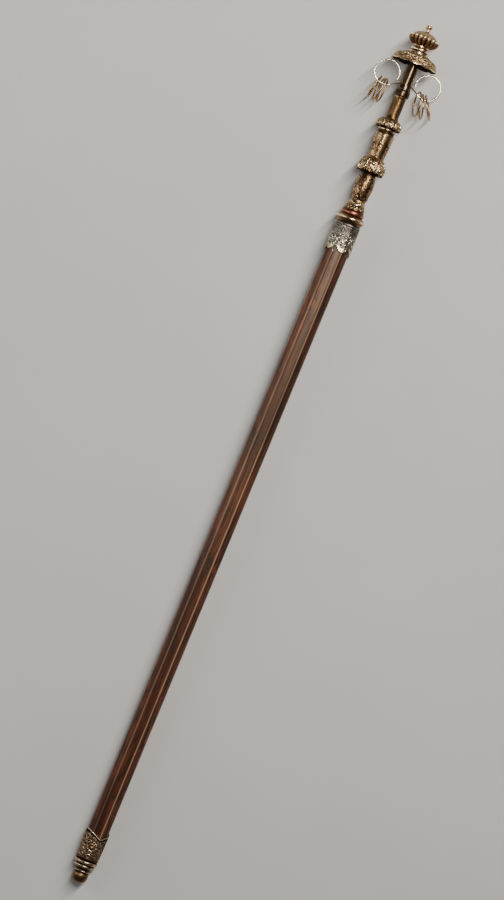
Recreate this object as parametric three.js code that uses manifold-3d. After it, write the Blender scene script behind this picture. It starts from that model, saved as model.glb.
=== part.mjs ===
// A ringed monk's staff, lying down: an eight-sided hardwood shaft with a turned metal foot, and a
// cast brass head with two knops, a canopy, a lotus bud and two wire hoops that carry loose rings.
// Sizes are in millimetres. The staff is modelled along +Y with its foot tip at Y 0, then tilted so
// that the canopy's rim and the foot's widest ring, each with a small flat spot, rest on Z 0. The
// origin is the middle of the foot ring's flat spot.
import * as THREE from 'three';
import { mergeVertices } from 'three/addons/utils/BufferGeometryUtils.js';
import Module from 'manifold-3d';

const wasm = await Module();
wasm.setup();

// Fits between neighbouring pieces
const JOINT_GAP = 0.3;
const BORE_CLEARANCE = 0.3;
const LOOSE_CLEARANCE = 0.5;
const FLAT_SPOT_DEPTH = 0.3;

// Foot tip, from the rounded end up
const TIP_END_RADIUS = 12.8;
const TIP_END_LENGTH = 17.8;
const TIP_NECK_RADIUS = 11.2;
const TIP_NECK_LENGTH = 1.6;
const TIP_SMALL_RING_RADIUS = 13.2;
const TIP_SMALL_RING_LENGTH = 2.8;
const TIP_COVE_RADIUS = 12.2;
const TIP_COVE_LENGTH = 5.2;
const TIP_MIDDLE_RING_RADIUS = 17.0;
const TIP_MIDDLE_RING_LENGTH = 4.2;
const TIP_GROOVE_RADIUS = 15.6;
const TIP_GROOVE_LENGTH = 2.0;
const TIP_WIDE_RING_RADIUS = 19.6;
const TIP_WIDE_RING_LENGTH = 6.4;

// Eight-sided shaft
const SHAFT_LENGTH = 1101.8;
const SHAFT_FOOT_HALF_WIDTH = 17.4;
const SHAFT_HEAD_HALF_WIDTH = 19.4;

// Foot ferrule, a cup with a wavy mouth
const FERRULE_FLOOR = 6;
const FERRULE_WALL = 1.1;
const FERRULE_LOW_LENGTH = 39.5;
const FERRULE_WAVE = 11.2;
const FERRULE_LOWER_RADIUS = 18.3;
const FERRULE_WAIST_RADIUS = 17.8;
const FERRULE_WAIST_SHARE = 0.55;
const FERRULE_VALLEY_ANGLE = 22.5;

// Socket sleeve on the shaft's head, with tongues along its lower edge
const SLEEVE_LENGTH = 39;
const SLEEVE_TOP_PLATE = 4.5;
const SLEEVE_WALL = 1.3;
const SLEEVE_TOP_WALL = 1.2;
const SLEEVE_FACETING = 0.8;
const TONGUE_COUNT = 6;
const TONGUE_ANGLE = 15;
const TONGUE_LENGTH = 9;
const UNDER_TONGUE_LENGTH = 13;
const TONGUE_BORDER_HEIGHT = 0.7;
const TONGUE_BORDER_WIDTH = 2.6;

// Flange disc and copper ring above the sleeve
const FLANGE_RADIUS = 24.3;
const FLANGE_EDGE = 3.2;
const FLANGE_TOP_RADIUS = 20.2;
const FLANGE_CROWN = 3.4;
const FLANGE_FOOT_RADIUS = 19.2;
const FLANGE_CONE = 6.4;
const COPPER_RADIUS = 18.8;
const COPPER_BULGE = 2.4;
const COPPER_LENGTH = 9.1;

// Column, from its base up
const BASE_RADIUS = 16.6;
const BASE_TOP_RADIUS = 15.4;
const BASE_LENGTH = 9.2;
const BASE_BLOCKS = 12;
const BASE_BLOCK_HEIGHT = 0.7;
const CHEVRON_RADIUS = 14.8;
const CHEVRON_LENGTH = 5.2;
const CHEVRON_WAVE = 2.2;
const CHEVRON_COUNT = 4;
const VASE_FOOT_RADIUS = 11.8;
const VASE_BELLY_RADIUS = 15.7;
const VASE_NECK_RADIUS = 11.6;
const VASE_LENGTH = 52;
const LOWER_KNOP_LIP_RADIUS = 21;
const LOWER_KNOP_RADIUS = 21.8;
const LOWER_KNOP_LENGTH = 26.5;
const LOWER_KNOP_TOP_RADIUS = 13.5;
const PETAL_COUNT = 8;
const PETAL_HEIGHT = 1.5;
const PETAL_DROP = 2;
const MIDDLE_TUBE_LENGTH = 41.3;
const MIDDLE_TUBE_TOP_RADIUS = 15.5;
const LEAF_TIP_WAVE = 1.8;
const LEAF_TIP_HEIGHT = 0.5;
const KNOP_RING_RADIUS = 15.1;
const KNOP_RING_LENGTH = 5.3;
const KNOP_NECK_RADIUS = 13.7;
const KNOP_NECK_LENGTH = 4.2;
const UPPER_KNOP_LIP_RADIUS = 19.2;
const UPPER_KNOP_RADIUS = 20.3;
const UPPER_KNOP_LENGTH = 16.6;
const UPPER_KNOP_TOP_RADIUS = 11.6;
const UPPER_TUBE_LENGTH = 38.6;
const UPPER_TUBE_RADIUS = 10;
const UPPER_TUBE_FLARE = 0.9;

// Collar and stem between the column and the canopy
const COLLAR_RADIUS = 12.8;
const COLLAR_LENGTH = 11.2;
const COLLAR_BEVEL = 1.2;
const STEM_FOOT_RADIUS = 11.2;
const STEM_RADIUS = 10;
const STEM_HEAD_RADIUS = 9.3;
const STEM_FOOT_FLARE = 8;
const STEM_LENGTH = 55.6;

// Canopy, hollow underneath
const CANOPY_RIM_RADIUS = 39.2;
const CANOPY_SHOULDER_RADIUS = 32;
const CANOPY_SKIRT = 12.4;
const CANOPY_FLARE = 7.1;
const CANOPY_RIM_EDGE = 1.5;
const CANOPY_WALL = 2.2;
const CANOPY_CAVITY_RADIUS = 26;
const CANOPY_LEAVES = 12;
const CANOPY_LEAF_HEIGHT = 0.8;
const STEP_RADIUS = 17;
const STEP_LENGTH = 2.6;
const STEP_GROOVE_RADIUS = 14.2;
const STEP_GROOVE_LENGTH = 1.2;
const TORUS_RADIUS = 15.3;
const TORUS_LENGTH = 6.2;
const TORUS_BULGE = 2.4;

// Lotus bud and ball at the top
const BUD_FOOT_RADIUS = 12.6;
const BUD_FOOT_LENGTH = 4;
const BUD_RADIUS = 24.4;
const BUD_BOWL_LENGTH = 9.9;
const BUD_LIP = 1.8;
const BUD_DOME_LENGTH = 12;
const BUD_PETALS = 20;
const BUD_PETAL_HEIGHT = 0.7;
const BEAD_RADIUS = 4;
const BEAD_LENGTH = 4.2;
const BEAD_NECK_RADIUS = 2.9;
const BALL_RADIUS = 6.2;
const BALL_LENGTH = 8.2;
const BALL_NECK_RADIUS = 3.2;

// Hoops, one on each side of the stem, and the rings that hang on them
const HOOP_RADIUS = 20.4;
const HOOP_WIRE_RADIUS = 1.5;
const HOOP_SIDE = 35.6;
const HOOP_ABOVE_STEM_FOOT = 18;
const HOOP_SHANK_ANGLE = 232;
const HOOP_END_ANGLE = 198;
const HOOP_HOLE_SIDE = 2.8;
const HOOP_HOLE_ABOVE_CENTRE = -4.6;
const HOOP_HOLE_DEPTH = 7;
const RING_RADIUS = 20.15;
const RING_WIRE_RADIUS = 1.45;
const RING_FLOOR_CLEARANCE = 3.2;
// Where each ring sits: its place round the hoop, the lean of its plane, and its tilt, in degrees
const LEFT_RINGS = [
  { place: 17, lean: -1, tilt: -9 },
  { place: 3, lean: -7, tilt: -9 },
  { place: -25, lean: -13, tilt: 2 },
];
const RIGHT_RINGS = [
  { place: -15, lean: 10, tilt: -13 },
  { place: 0, lean: 17, tilt: -6 },
  { place: 15, lean: 30, tilt: 6 },
];

// Facets: how finely the round forms are cut
const ROUND_SIDES = 24;
const FERRULE_SIDES = 16;
const BUD_SIDES = 2 * BUD_PETALS;
const CANOPY_SIDES = 3 * CANOPY_LEAVES;
const SLEEVE_SIDES = 48;
const WIRE_SIDES = 5;
const RING_STEPS = 16;
const HOOP_STEPS = 28;
const BEAD_STEPS = 3;

const degrees = THREE.MathUtils.degToRad;

// One point of a turned profile: its radius, its height and, where it is carved, a relief function
// that takes the angle and gives how far the surface moves outward and upward there
function at(radius, height, relief) {
  return { radius, height, relief };
}

// Points of a bead with a flat crest that starts at a height and swells to a radius
function bead(radius, low, length, bulge, relief) {
  return Array.from({ length: BEAD_STEPS + 1 }, (_, step) => {
    const turn = (Math.PI * step) / BEAD_STEPS;
    const swell = Math.min(1, Math.sin(turn) / Math.sin(Math.PI / BEAD_STEPS));
    return at(radius - bulge + bulge * swell, low + (length * (1 - Math.cos(turn))) / 2, relief);
  });
}

// Points of a smooth curve through the given radius and height pairs
function sweep(pairs, steps, relief) {
  const curve = new THREE.SplineCurve(pairs.map(([radius, height]) => new THREE.Vector2(radius, height)));
  return curve.getPoints(steps).map((point) => at(point.x, point.y, relief));
}

// A closed solid turned about the staff's axis, with each profile point's relief applied
function turned(profile, sides) {
  const points = profile.map(({ radius, height }) => new THREE.Vector2(radius, height));
  const lathe = new THREE.LatheGeometry(points, sides);
  const place = lathe.attributes.position;
  for (let index = 0; index < place.count; index += 1) {
    const { radius, height, relief } = profile[index % profile.length];
    if (!relief) continue;
    const angle = (2 * Math.PI * Math.floor(index / profile.length)) / sides;
    const [outward, upward] = relief(angle);
    const carved = radius + outward;
    place.setXYZ(index, carved * Math.sin(angle), height + upward, carved * Math.cos(angle));
  }
  return welded(lathe);
}

// The same surface with its shared corners joined and its empty triangles left out
function welded(geometry) {
  geometry.deleteAttribute('normal');
  geometry.deleteAttribute('uv');
  const solid = mergeVertices(geometry, 1e-3);
  const corners = solid.index.array;
  const kept = [];
  for (let index = 0; index < corners.length; index += 3) {
    const [a, b, c] = corners.subarray(index, index + 3);
    if (a !== b && b !== c && c !== a) kept.push(a, b, c);
  }
  solid.setIndex(kept);
  return solid;
}

// Conversions to and from the solids that can be cut
function toSolid(geometry) {
  return new wasm.Manifold(new wasm.Mesh({
    numProp: 3,
    vertProperties: new Float32Array(geometry.attributes.position.array),
    triVerts: new Uint32Array(geometry.index.array),
  }));
}

function cutAway(geometry, cutters) {
  let solid = toSolid(geometry);
  for (const cutter of cutters) solid = solid.subtract(toSolid(cutter));
  const { vertProperties, triVerts } = solid.getMesh();
  const result = new THREE.BufferGeometry();
  result.setAttribute('position', new THREE.BufferAttribute(vertProperties, 3));
  result.setIndex(new THREE.BufferAttribute(triVerts, 1));
  return result;
}

// A round wire along a curve, with two flat ends
function wire(curve, radius, steps) {
  const section = new THREE.Shape();
  for (let side = 0; side < WIRE_SIDES; side += 1) {
    const angle = (2 * Math.PI * side) / WIRE_SIDES;
    const corner = [radius * Math.cos(angle), radius * Math.sin(angle)];
    if (side === 0) section.moveTo(...corner);
    else section.lineTo(...corner);
  }
  section.closePath();
  return welded(new THREE.ExtrudeGeometry(section, { steps, extrudePath: curve, bevelEnabled: false }));
}

// How far the flat of an eight-sided bar stands off at an angle, as a share of its half width
function octagonShare(angle) {
  const face = Math.PI / 4;
  const offFlat = angle - face * Math.round(angle / face);
  return 1 / Math.cos(offFlat);
}

const pieces = [];

function addPiece(name, geometry, material) {
  const mesh = new THREE.Mesh(geometry, material);
  mesh.name = name;
  pieces.push(mesh);
  return mesh;
}

const metal = (color, roughness) => new THREE.MeshStandardMaterial({ color, metalness: 1, roughness });
const brass = metal(0x9c7a48, 0.35);
const paleBrass = metal(0xb79a68, 0.3);
const copper = metal(0x8a4326, 0.35);
const pewter = metal(0x5d5a52, 0.45);
const darkBronze = metal(0x4a3524, 0.45);
const rosewood = new THREE.MeshStandardMaterial({ color: 0x3a1710, metalness: 0, roughness: 0.35 });

// Stations along the staff: each piece starts a joint gap above the one below it
const tipLength = TIP_END_LENGTH + TIP_NECK_LENGTH + TIP_SMALL_RING_LENGTH + TIP_COVE_LENGTH
  + TIP_MIDDLE_RING_LENGTH + TIP_GROOVE_LENGTH + TIP_WIDE_RING_LENGTH;
const ferruleLow = tipLength + JOINT_GAP;
const shaftLow = ferruleLow + FERRULE_FLOOR + JOINT_GAP;
const shaftHigh = shaftLow + SHAFT_LENGTH;
const sleeveHigh = shaftHigh + JOINT_GAP + SLEEVE_TOP_PLATE;
const sleeveLow = sleeveHigh - SLEEVE_LENGTH;
const flangeLow = sleeveHigh + JOINT_GAP;
const flangeHigh = flangeLow + FLANGE_CONE + FLANGE_EDGE + FLANGE_CROWN;
const copperLow = flangeHigh + JOINT_GAP;
const columnLow = copperLow + COPPER_LENGTH + JOINT_GAP;
const columnLength = BASE_LENGTH + CHEVRON_LENGTH + VASE_LENGTH + LOWER_KNOP_LENGTH + MIDDLE_TUBE_LENGTH
  + KNOP_NECK_LENGTH + KNOP_RING_LENGTH + UPPER_KNOP_LENGTH + UPPER_TUBE_LENGTH;
const collarLow = columnLow + columnLength + JOINT_GAP;
const stemLow = collarLow + COLLAR_LENGTH + JOINT_GAP;
const stemHigh = stemLow + STEM_LENGTH;
const canopyCeiling = stemHigh + JOINT_GAP;
const canopyShoulder = canopyCeiling + CANOPY_WALL - CANOPY_FLARE / 3;
const canopyRim = canopyShoulder - CANOPY_SKIRT;
const canopyNeck = canopyShoulder + CANOPY_FLARE;
const canopyTop = canopyNeck + STEP_LENGTH + STEP_GROOVE_LENGTH + TORUS_LENGTH;
const budLow = canopyTop + JOINT_GAP;
const budLength = BUD_FOOT_LENGTH + BUD_BOWL_LENGTH + BUD_LIP + BUD_DOME_LENGTH + BEAD_LENGTH + BALL_LENGTH;
const staffLength = budLow + budLength;

// The lie of the staff: tilted until the wide foot ring and the canopy's rim touch one floor
const footRest = tipLength - TIP_WIDE_RING_LENGTH / 2;
const headRest = canopyRim + CANOPY_RIM_EDGE / 2;
const lie = Math.atan((CANOPY_RIM_RADIUS - TIP_WIDE_RING_RADIUS) / (headRest - footRest));
const axisHeight = CANOPY_RIM_RADIUS * Math.cos(lie) - headRest * Math.sin(lie) - FLAT_SPOT_DEPTH;
const staff = new THREE.Group();
staff.rotation.x = lie;
staff.position.set(0, -footRest * Math.cos(lie) - TIP_WIDE_RING_RADIUS * Math.sin(lie), axisHeight);
staff.updateMatrixWorld(true);

// Height of the floor below the axis, at a station along the staff
function floorBelow(station) {
  return (axisHeight + station * Math.sin(lie)) / Math.cos(lie);
}

// A block whose top is the floor, in the staff's own frame, which cuts the flat spots
function floorBlock() {
  const side = 4 * CANOPY_RIM_RADIUS;
  const block = new THREE.BoxGeometry(side, 2 * staffLength, side);
  block.translate(0, 0, -side / 2);
  block.applyMatrix4(staff.matrixWorld.clone().invert());
  return welded(block);
}

// Turned foot tip
function footTip() {
  const profile = [at(0, 0)];
  const endCurve = [
    [TIP_END_RADIUS * 0.45, TIP_END_LENGTH * 0.03],
    [TIP_END_RADIUS * 0.84, TIP_END_LENGTH * 0.24],
    [TIP_END_RADIUS, TIP_END_LENGTH * 0.62],
    [TIP_END_RADIUS * 0.97, TIP_END_LENGTH * 0.86],
    [TIP_NECK_RADIUS, TIP_END_LENGTH],
  ];
  profile.push(...sweep(endCurve, 5));
  let height = TIP_END_LENGTH + TIP_NECK_LENGTH;
  profile.push(...bead(TIP_SMALL_RING_RADIUS, height, TIP_SMALL_RING_LENGTH, TIP_SMALL_RING_RADIUS - TIP_NECK_RADIUS));
  height += TIP_SMALL_RING_LENGTH;
  profile.push(at(TIP_COVE_RADIUS, height + TIP_COVE_LENGTH * 0.5));
  height += TIP_COVE_LENGTH;
  profile.push(...bead(TIP_MIDDLE_RING_RADIUS, height, TIP_MIDDLE_RING_LENGTH, TIP_MIDDLE_RING_RADIUS - TIP_GROOVE_RADIUS));
  height += TIP_MIDDLE_RING_LENGTH + TIP_GROOVE_LENGTH;
  profile.push(...bead(TIP_WIDE_RING_RADIUS, height, TIP_WIDE_RING_LENGTH, TIP_WIDE_RING_RADIUS - TIP_GROOVE_RADIUS));
  profile.push(at(0, tipLength));
  return cutAway(turned(profile, ROUND_SIDES), [floorBlock()]);
}

// Shaft, an eight-sided bar that tapers towards the foot
function shaftHalfWidth(station) {
  const share = (station - shaftLow) / SHAFT_LENGTH;
  return THREE.MathUtils.lerp(SHAFT_FOOT_HALF_WIDTH, SHAFT_HEAD_HALF_WIDTH, share);
}

function shaft() {
  const cornerShare = octagonShare(Math.PI / 8);
  const low = shaftHalfWidth(shaftLow) * cornerShare;
  const high = shaftHalfWidth(shaftHigh) * cornerShare;
  const bar = new THREE.CylinderGeometry(high, low, SHAFT_LENGTH, 8, 1, false, Math.PI / 8);
  bar.translate(0, (shaftLow + shaftHigh) / 2, 0);
  return welded(bar);
}

// An eight-sided section at a half width, as the relief of a round profile point of that radius
function eightSided(halfWidth, wave) {
  return (angle) => [halfWidth * (octagonShare(angle) - 1), wave ? wave(angle) : 0];
}

// Foot ferrule: eight-sided at its wavy mouth, round at its foot
function footFerrule() {
  const valley = degrees(FERRULE_VALLEY_ANGLE);
  const mouthWave = (angle) => FERRULE_WAVE * Math.abs(Math.sin(angle - valley));
  const mouth = ferruleLow + FERRULE_LOW_LENGTH;
  const waist = ferruleLow + FERRULE_LOW_LENGTH * FERRULE_WAIST_SHARE;
  const floor = ferruleLow + FERRULE_FLOOR;
  const inside = (station) => shaftHalfWidth(station) + BORE_CLEARANCE;
  const outside = (station) => inside(station) + FERRULE_WALL;
  return turned([
    at(0, ferruleLow),
    at(FERRULE_LOWER_RADIUS - 0.8, ferruleLow),
    at(FERRULE_LOWER_RADIUS, ferruleLow + 0.8),
    at(Math.max(FERRULE_WAIST_RADIUS, outside(waist)), waist, eightSided(outside(waist))),
    at(outside(mouth) + 0.2, mouth - 3, eightSided(outside(mouth))),
    at(outside(mouth) + 0.4, mouth - 0.6, eightSided(outside(mouth), mouthWave)),
    at(outside(mouth), mouth, eightSided(outside(mouth), mouthWave)),
    at(inside(mouth), mouth, eightSided(inside(mouth), mouthWave)),
    at(inside(waist), waist, eightSided(inside(waist))),
    at(inside(floor), floor, eightSided(inside(floor))),
    at(0, floor),
  ], FERRULE_SIDES);
}

// Lower edge of the sleeve: long tongues, and narrower ones that hang between and below them
function tongueEdge(angle) {
  const turn = (TONGUE_COUNT * (angle - degrees(TONGUE_ANGLE))) / 2;
  const over = TONGUE_LENGTH * Math.abs(Math.cos(turn));
  const under = UNDER_TONGUE_LENGTH * Math.abs(Math.sin(turn)) ** 3;
  return -Math.max(over, under);
}

// Socket sleeve: eight-sided at its tongues, softly so at its top, hollow from below
function socketSleeve() {
  const ceiling = sleeveHigh - SLEEVE_TOP_PLATE;
  const inside = (station) => shaftHalfWidth(station) + BORE_CLEARANCE;
  const edge = inside(sleeveLow) + SLEEVE_WALL;
  const border = edge + TONGUE_BORDER_HEIGHT;
  const top = inside(ceiling) + SLEEVE_TOP_WALL;
  const middle = sleeveHigh - SLEEVE_LENGTH / 2;
  return turned([
    at(0, ceiling),
    at(inside(ceiling), ceiling, eightSided(inside(ceiling))),
    at(inside(sleeveLow), sleeveLow, eightSided(inside(sleeveLow), tongueEdge)),
    at(border, sleeveLow, eightSided(edge, tongueEdge)),
    at(border, sleeveLow + TONGUE_BORDER_WIDTH, eightSided(edge, tongueEdge)),
    at(edge, sleeveLow + TONGUE_BORDER_WIDTH + 0.6, eightSided(edge, tongueEdge)),
    at((edge + top) / 2, middle, eightSided(SLEEVE_FACETING * edge)),
    at(top, sleeveHigh - 1, eightSided(SLEEVE_FACETING * top)),
    at(top - 0.6, sleeveHigh),
    at(0, sleeveHigh),
  ], SLEEVE_SIDES);
}

function flangeDisc() {
  const edgeLow = flangeLow + FLANGE_CONE;
  const edgeHigh = edgeLow + FLANGE_EDGE;
  return turned([
    at(0, flangeLow),
    at(FLANGE_FOOT_RADIUS, flangeLow),
    at((FLANGE_FOOT_RADIUS + FLANGE_RADIUS) / 2 - 0.6, flangeLow + FLANGE_CONE * 0.62),
    at(FLANGE_RADIUS - 0.5, edgeLow),
    at(FLANGE_RADIUS, edgeLow + 0.8),
    at(FLANGE_RADIUS, edgeHigh - 0.8),
    at(FLANGE_RADIUS - 0.9, edgeHigh),
    at(FLANGE_TOP_RADIUS, flangeHigh),
    at(0, flangeHigh),
  ], ROUND_SIDES);
}

function copperRing() {
  return turned([
    at(0, copperLow),
    ...bead(COPPER_RADIUS, copperLow, COPPER_LENGTH, COPPER_BULGE),
    at(0, copperLow + COPPER_LENGTH),
  ], ROUND_SIDES);
}

// A rounded swell of petals round a knop, which also dips its lower lip between the petals
function petals(height, drop) {
  return (angle) => {
    const swell = Math.abs(Math.cos((PETAL_COUNT * angle) / 2));
    return [height * (swell - 0.5), -drop * (swell - 0.5)];
  };
}

// A bell-shaped knop with a petalled lip: its points from the lip's underside up
function knop(low, length, neckRadius, lipRadius, radius, topRadius) {
  return [
    at(neckRadius, low + 0.4),
    at(lipRadius - 1.5, low, petals(PETAL_HEIGHT / 2, PETAL_DROP)),
    at(lipRadius, low + 1.4, petals(PETAL_HEIGHT, PETAL_DROP)),
    at(radius, low + length * 0.32, petals(PETAL_HEIGHT * 0.8, PETAL_DROP / 2)),
    at(radius * 0.95, low + length * 0.55, petals(PETAL_HEIGHT * 0.5, 0)),
    at(THREE.MathUtils.lerp(radius, topRadius, 0.5), low + length * 0.8, petals(PETAL_HEIGHT * 0.3, 0)),
    at(topRadius, low + length),
  ];
}

// Column: base, chevron cord, vase, lower knop, middle tube, upper knop and upper tube, cast as one
function column() {
  const blocks = (angle) => [BASE_BLOCK_HEIGHT * (Math.cos(BASE_BLOCKS * angle) - 0.5) * 0.5, 0];
  const chevrons = (angle) => [0, -CHEVRON_WAVE * Math.cos(CHEVRON_COUNT * angle)];
  const leafTips = (angle) => [LEAF_TIP_HEIGHT, LEAF_TIP_WAVE * Math.cos(PETAL_COUNT * angle)];
  let height = columnLow;
  const profile = [at(0, height)];
  profile.push(at(BASE_RADIUS, height));
  profile.push(at(BASE_RADIUS, height + BASE_LENGTH * 0.3, blocks));
  profile.push(at(BASE_TOP_RADIUS, height + BASE_LENGTH * 0.75, blocks));
  height += BASE_LENGTH;
  profile.push(...bead(CHEVRON_RADIUS, height, CHEVRON_LENGTH, 1.8, chevrons));
  height += CHEVRON_LENGTH;
  profile.push(...sweep([
    [VASE_FOOT_RADIUS, height + VASE_LENGTH * 0.07],
    [(VASE_FOOT_RADIUS + VASE_BELLY_RADIUS) / 2, height + VASE_LENGTH * 0.2],
    [VASE_BELLY_RADIUS, height + VASE_LENGTH * 0.5],
    [VASE_BELLY_RADIUS * 0.92, height + VASE_LENGTH * 0.78],
    [VASE_NECK_RADIUS, height + VASE_LENGTH * 0.97],
  ], 6));
  height += VASE_LENGTH;
  profile.push(...knop(height, LOWER_KNOP_LENGTH, VASE_NECK_RADIUS, LOWER_KNOP_LIP_RADIUS,
    LOWER_KNOP_RADIUS, LOWER_KNOP_TOP_RADIUS));
  height += LOWER_KNOP_LENGTH;
  profile.push(at((LOWER_KNOP_TOP_RADIUS + MIDDLE_TUBE_TOP_RADIUS) / 2, height + MIDDLE_TUBE_LENGTH * 0.3));
  profile.push(at(MIDDLE_TUBE_TOP_RADIUS, height + MIDDLE_TUBE_LENGTH * 0.7));
  profile.push(at(MIDDLE_TUBE_TOP_RADIUS, height + MIDDLE_TUBE_LENGTH * 0.86, leafTips));
  height += MIDDLE_TUBE_LENGTH;
  profile.push(at(MIDDLE_TUBE_TOP_RADIUS + LEAF_TIP_HEIGHT, height - 0.8));
  profile.push(at(KNOP_NECK_RADIUS, height));
  height += KNOP_NECK_LENGTH;
  profile.push(...bead(KNOP_RING_RADIUS, height, KNOP_RING_LENGTH, KNOP_RING_RADIUS - KNOP_NECK_RADIUS));
  height += KNOP_RING_LENGTH;
  profile.push(...knop(height, UPPER_KNOP_LENGTH, KNOP_NECK_RADIUS, UPPER_KNOP_LIP_RADIUS,
    UPPER_KNOP_RADIUS, UPPER_KNOP_TOP_RADIUS));
  height += UPPER_KNOP_LENGTH;
  profile.push(at(UPPER_TUBE_RADIUS, height + UPPER_TUBE_LENGTH * 0.12));
  profile.push(at(UPPER_TUBE_RADIUS, height + UPPER_TUBE_LENGTH * 0.9));
  height += UPPER_TUBE_LENGTH;
  profile.push(at(UPPER_TUBE_RADIUS + UPPER_TUBE_FLARE, height));
  profile.push(at(0, height));
  return turned(profile, ROUND_SIDES);
}

function stemCollar() {
  const high = collarLow + COLLAR_LENGTH;
  return turned([
    at(0, collarLow),
    at(COLLAR_RADIUS - COLLAR_BEVEL, collarLow),
    at(COLLAR_RADIUS, collarLow + COLLAR_BEVEL),
    at(COLLAR_RADIUS * 0.97, high - COLLAR_BEVEL),
    at(STEM_FOOT_RADIUS, high),
    at(0, high),
  ], ROUND_SIDES);
}

// Path of the right hoop's wire: out of the stem's hole, round under and outside, and back in
const hoopCentre = new THREE.Vector3(HOOP_SIDE, stemLow + HOOP_ABOVE_STEM_FOOT, 0);

function onHoop(angle) {
  const turn = degrees(angle);
  return new THREE.Vector3(
    hoopCentre.x + HOOP_RADIUS * Math.cos(turn),
    hoopCentre.y + HOOP_RADIUS * Math.sin(turn),
    0,
  );
}

const shankStart = new THREE.Vector3(HOOP_HOLE_SIDE, hoopCentre.y + HOOP_HOLE_ABOVE_CENTRE, HOOP_HOLE_DEPTH);
const shankEnd = onHoop(HOOP_SHANK_ANGLE);

function hoopPath() {
  const points = [shankStart, shankStart.clone().lerp(shankEnd, 0.5)];
  const turn = 360 + HOOP_END_ANGLE - HOOP_SHANK_ANGLE;
  const stops = 16;
  for (let stop = 0; stop <= stops; stop += 1) points.push(onHoop(HOOP_SHANK_ANGLE + (turn * stop) / stops));
  return new THREE.CatmullRomCurve3(points, false, 'centripetal');
}

// The same geometry on the other side of the staff, with its faces still pointing out
function mirrored(geometry) {
  const copy = geometry.clone();
  copy.scale(-1, 1, 1);
  const corners = Array.from(copy.index.array);
  for (let index = 0; index < corners.length; index += 3) {
    [corners[index], corners[index + 1]] = [corners[index + 1], corners[index]];
  }
  copy.setIndex(corners);
  return copy;
}

// Stem, with a slanting hole on each side that a hoop's wire goes into
function canopyStem() {
  const body = turned([
    at(0, stemLow),
    at(STEM_FOOT_RADIUS, stemLow),
    at(STEM_FOOT_RADIUS, stemLow + 1.5),
    at(STEM_RADIUS, stemLow + STEM_FOOT_FLARE),
    at(STEM_RADIUS, stemLow + STEM_LENGTH * 0.5),
    at(STEM_HEAD_RADIUS, stemHigh),
    at(0, stemHigh),
  ], ROUND_SIDES);
  const along = shankEnd.clone().sub(shankStart).normalize();
  const bottom = shankStart.clone().addScaledVector(along, -JOINT_GAP);
  const mouth = shankStart.clone().addScaledVector(along, 2 * STEM_RADIUS);
  const drill = wire(new THREE.LineCurve3(bottom, mouth), HOOP_WIRE_RADIUS + BORE_CLEARANCE, 1);
  return cutAway(body, [drill, mirrored(drill)]);
}

// Canopy: collar mouldings, a leafy flare, a drooping skirt, and the hollow under it
function canopy() {
  const leaves = (share) => (angle) => {
    const swell = Math.cos(CANOPY_LEAVES * angle);
    return [share * CANOPY_LEAF_HEIGHT * swell, 0];
  };
  const rimHigh = canopyRim + CANOPY_RIM_EDGE;
  const skirtMiddle = (CANOPY_RIM_RADIUS + CANOPY_SHOULDER_RADIUS) / 2;
  const step = canopyNeck + STEP_LENGTH;
  const groove = step + STEP_GROOVE_LENGTH;
  return cutAway(turned([
    at(0, canopyCeiling),
    at(CANOPY_CAVITY_RADIUS, canopyCeiling),
    at(CANOPY_SHOULDER_RADIUS - CANOPY_WALL, canopyShoulder - CANOPY_WALL),
    at(skirtMiddle - CANOPY_WALL, canopyRim + CANOPY_SKIRT * 0.45),
    at(CANOPY_RIM_RADIUS - CANOPY_RIM_EDGE, canopyRim),
    at(CANOPY_RIM_RADIUS, canopyRim),
    at(CANOPY_RIM_RADIUS, rimHigh),
    at(skirtMiddle, canopyRim + CANOPY_SKIRT * 0.45, leaves(0.6)),
    at(CANOPY_SHOULDER_RADIUS, canopyShoulder, leaves(1)),
    at(CANOPY_SHOULDER_RADIUS * 0.87, canopyShoulder + CANOPY_FLARE * 0.3, leaves(1)),
    at(CANOPY_SHOULDER_RADIUS * 0.67, canopyShoulder + CANOPY_FLARE * 0.6, leaves(0.7)),
    at(STEP_RADIUS, canopyNeck),
    at(STEP_RADIUS, step),
    at(STEP_GROOVE_RADIUS, step + 0.2),
    ...bead(TORUS_RADIUS, groove, TORUS_LENGTH, TORUS_BULGE),
    at(0, canopyTop),
  ], CANOPY_SIDES), [floorBlock()]);
}

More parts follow.
